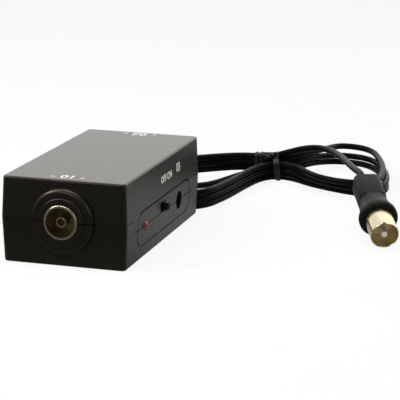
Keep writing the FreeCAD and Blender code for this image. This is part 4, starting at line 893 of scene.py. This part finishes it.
def makeLens():
    # red epoxy of a 3 mm pilot light: tinted through, glossy
    settings = {"IOR": 1.54, "Transmission Weight": 0.45, "Coat Weight": 0.3, "Coat Roughness": 0.05}
    material, tree, shader, place = newMaterial("redEpoxyLens", settings)
    patches = mottle(tree, place, size=1.2, detail=2)
    tree.links.new(blendColours(tree, patches, "#6e0a0d", "#a81d22"), shader.inputs["Base Color"])
    tree.links.new(spread(tree, patches, low=0.1, high=0.2), shader.inputs["Roughness"])
    return material


def makeBoardLaminate():
    # phenolic paper laminate: golden brown and satin, with the paper's grain faintly showing
    material, tree, shader, place = newMaterial("boardLaminate", {"IOR": 1.52})
    settings = {"Scale": perMetre(6.2), "Distortion": 0.4, "Detail": 1, "bands_direction": "X"}
    grain = addNode(tree, "ShaderNodeTexWave", settings, {"Vector": place}).outputs["Fac"]
    patches = mottle(tree, place, size=3)
    tree.links.new(blendColours(tree, patches, "#a67a3c", "#b98e50"), shader.inputs["Base Color"])
    tree.links.new(spread(tree, patches, low=0.25, high=0.38), shader.inputs["Roughness"])
    tree.links.new(bumpOf(tree, grain, depth=0.01, strength=0.4), shader.inputs["Normal"])
    return material


def shareAlong(tree, place, start, end):
    # 0 to 1 from one place on X to another, which are in mm
    along = addNode(tree, "ShaderNodeSeparateXYZ", None, {"Vector": place}).outputs["X"]
    settings = {"From Min": start * millimetre, "From Max": end * millimetre}
    return addNode(tree, "ShaderNodeMapRange", settings, {"Value": along}).outputs["Result"]


def makeBanded(name, body, alternate, start, end, bands, bandWidth=0.09):
    # glossy lacquered body with coloured rings, which follow X in a row of components
    material, tree, shader, place = newMaterial(name, {"IOR": 1.52})
    ramp = addNode(tree, "ShaderNodeValToRGB", None, {"Fac": shareAlong(tree, place, start, end)})
    ramp.color_ramp.interpolation = "CONSTANT"
    ramp.color_ramp.elements[0].color = linear(body)
    ramp.color_ramp.elements[1].position = 0.999
    ramp.color_ramp.elements[1].color = linear(body)
    for position, colour in bands:
        for at, shade in ((position, colour), (position + bandWidth, body)):
            element = ramp.color_ramp.elements.new(at)
            element.color = linear(shade)
    patches = mottle(tree, place, size=1.1, detail=2)
    uneven = blendColours(tree, patches, alternate, "#ffffff")
    settings = {"data_type": "RGBA", "blend_type": "MULTIPLY", "Factor": 0.35}
    # inputs 6 and 7 and output 2 of a Mix node are its colours
    mixed = addNode(tree, "ShaderNodeMix", settings, {6: ramp.outputs["Color"], 7: uneven}).outputs[2]
    tree.links.new(mixed, shader.inputs["Base Color"])
    tree.links.new(spread(tree, patches, low=0.22, high=0.34), shader.inputs["Roughness"])
    tree.links.new(bumpOf(tree, patches, depth=0.02), shader.inputs["Normal"])
    return material


def makeCapacitorSleeve():
    # shrunk PVC sleeve of an electrolytic capacitor: dark blue, a pale stripe on the minus side
    material, tree, shader, place = newMaterial("capacitorSleeve", {"IOR": 1.53})
    across = shareAlong(tree, place, start=-13.65, end=-7.35)
    striped = blendColours(tree, across, "#c9cbd0", "#1a2234", start=0.06, end=0.09)
    tree.links.new(striped, shader.inputs["Base Color"])
    patches = mottle(tree, place, size=1.4, detail=2)
    tree.links.new(spread(tree, patches, low=0.24, high=0.34), shader.inputs["Roughness"])
    tree.links.new(bumpOf(tree, patches, depth=0.02), shader.inputs["Normal"])
    return material


finishes["redLens"] = makeLens()
finishes["boardLaminate"] = makeBoardLaminate()
finishes["capacitorSleeve"] = makeCapacitorSleeve()
finishes["resistorLacquer"] = makeBanded(
    "resistorLacquer", "#c9a878", "#b8906a", start=-13.2, end=-8.8,
    bands=[(0.12, "#5a3014"), (0.32, "#1a1a1a"), (0.52, "#a83218"), (0.8, "#b08a3c")],
)
finishes["chokeLacquer"] = makeBanded(
    "chokeLacquer", "#4f8a5c", "#3f7550", start=-11.4, end=-5.2,
    bands=[(0.15, "#5a3014"), (0.35, "#1a1a1a"), (0.55, "#5a3014"), (0.8, "#b8b8b4")],
)
slotFinishes = {
    "black_moulding": "caseMoulding", "black_epoxy": "blackEpoxy", "knob_moulding": "knobMoulding",
    "plug_moulding": "plugMoulding", "black_rubber": "softRubber", "cable_jacket": "cableJacket",
    "tie_ribbon": "tieRibbon", "nickel_plating": "nickelPlate", "zinc_screws": "zincPlate",
    "tinned_sheet": "tinnedSheet", "cream_insulator": "creamInsulator", "tan_insulator": "tanInsulator",
    "dielectric": "dielectric", "circuit_laminate": "boardLaminate", "ceramic_disc": "ceramicDisc",
    "resistor_lacquer": "resistorLacquer", "choke_lacquer": "chokeLacquer", "ferrite": "ferrite",
    "capacitor_sleeve": "capacitorSleeve", "red_lens": "redLens",
}
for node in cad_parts.values():
    slot = node.material_slots[0]
    slot.material = finishes[slotFinishes[slot.material.name.split(".")[0]]]
# the plug's pin is duller than the other plated pieces
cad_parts["plug_pin"].material_slots[0].material = finishes["satinNickel"]
print("frame finished")

# Floor, world and lamps
studio = {
    # in metres: the floor's width, and how far it lies below the object
    "floorSize": 6,
    "floorDrop": 0.0001,
    "floorColours": ("#e9e8e4", "#efeeea"),
    # how white the camera sees the floor, and the room's even light on surfaces
    "seenWhite": 0.88,
    "ambient": 0.34,
    # what is mirrored in the object, dim in front of it and white behind: from, to, and both strengths
    "mirroredFloor": (-0.08, 0.03, 0.09, 0.5),
    "mirroredRoom": (-0.2, 0.85, 0.2, 1.7),
}
lamps = [
    # name, place, aim, width, height, watts
    ("overheadLamp", (10, 60, 640), (20, 40, 10), 520, 420, 2.2),
    ("keyLamp", (-400, -220, 400), (20, 20, 10), 240, 240, 2.2),
    ("fillLamp", (480, -300, 260), (20, 20, 10), 300, 300, 0.4),
    ("frontLamp", (-140, -640, 330), (40, 0, 10), 150, 150, 0.6),
]


def calculate(tree, operation, first, second):
    return addNode(tree, "ShaderNodeMath", {"operation": operation}, {0: first, 1: second}).outputs[0]


def rayKinds(tree):
    # rays from the camera, and those that a mirroring or clear surface sends on
    path = addNode(tree, "ShaderNodeLightPath").outputs
    mirrored = calculate(tree, "MAXIMUM", path["Is Glossy Ray"], path["Is Transmission Ray"])
    return path["Is Camera Ray"], mirrored


def mirroredStrength(tree, place, rise):
    start, end, low, high = rise
    rearward = addNode(tree, "ShaderNodeSeparateXYZ", None, {"Vector": place}).outputs["Y"]
    settings = {
        "interpolation_type": "SMOOTHSTEP", "From Min": start, "From Max": end, "To Min": low, "To Max": high,
    }
    return addNode(tree, "ShaderNodeMapRange", settings, {"Value": rearward}).outputs["Result"]


def makeFloor():
    mesh = bmesh.new()
    bmesh.ops.create_grid(mesh, x_segments=1, y_segments=1, size=studio["floorSize"] / 2)
    data = bpy.data.meshes.new("floor")
    mesh.to_mesh(data)
    mesh.free()
    # painted board: the camera sees it nearly white, with the object's shadow still on it
    settings = {"Roughness": 0.9, "Specular IOR Level": 0.1}
    material, tree, shader, place = newMaterial("paintedBoard", settings)
    patches = mottle(tree, place, size=60)
    tree.links.new(blendColours(tree, patches, *studio["floorColours"]), shader.inputs["Base Color"])
    seen, mirrored = rayKinds(tree)
    strength = calculate(tree, "MAXIMUM", mirroredStrength(tree, place, studio["mirroredFloor"]), seen)
    white = addNode(tree, "ShaderNodeEmission", {"Color": (1, 1, 1, 1)}, {"Strength": strength})
    settings = {"operation": "MULTIPLY", 1: studio["seenWhite"]}
    partly = addNode(tree, "ShaderNodeMath", settings, {0: seen}).outputs[0]
    share = calculate(tree, "MAXIMUM", partly, mirrored)
    mixed = addNode(tree, "ShaderNodeMixShader", None, {0: share, 1: shader.outputs[0], 2: white.outputs[0]})
    tree.links.new(mixed.outputs[0], tree.nodes["Material Output"].inputs["Surface"])
    data.materials.append(material)
    floor = bpy.data.objects.new("floor", data)
    floor.location.z = -studio["floorDrop"]
    bpy.context.scene.collection.objects.link(floor)


def makeRoom():
    # white to the camera, an even dim light on surfaces
    world = bpy.data.worlds.new("studio")
    world.use_nodes = True
    bpy.context.scene.world = world
    tree = world.node_tree
    seen, mirrored = rayKinds(tree)
    direction = addNode(tree, "ShaderNodeTexCoord").outputs["Generated"]
    rising = mirroredStrength(tree, direction, studio["mirroredRoom"])
    # inputs 0, 2 and 3 of a Mix node are its factor and its two numbers
    unseen = addNode(tree, "ShaderNodeMix", {2: studio["ambient"]}, {0: mirrored, 3: rising}).outputs[0]
    around = tree.nodes["Background"]
    around.inputs["Color"].default_value = (1, 1, 1, 1)
    tree.links.new(calculate(tree, "MAXIMUM", unseen, seen), around.inputs["Strength"])


def makeLamps():
    for name, place, aim, width, height, watts in lamps:
        data = bpy.data.lights.new(name, "AREA")
        data.shape = "RECTANGLE"
        data.size = width * millimetre
        data.size_y = height * millimetre
        data.energy = watts
        lamp = bpy.data.objects.new(name, data)
        lamp.location = inMetres(*place)
        lamp.rotation_euler = (inMetres(*aim) - inMetres(*place)).to_track_quat("-Z", "Y").to_euler()
        bpy.context.scene.collection.objects.link(lamp)


makeFloor()
makeRoom()
makeLamps()
bpy.context.scene.view_settings.view_transform = "Standard"
print("studio lit")
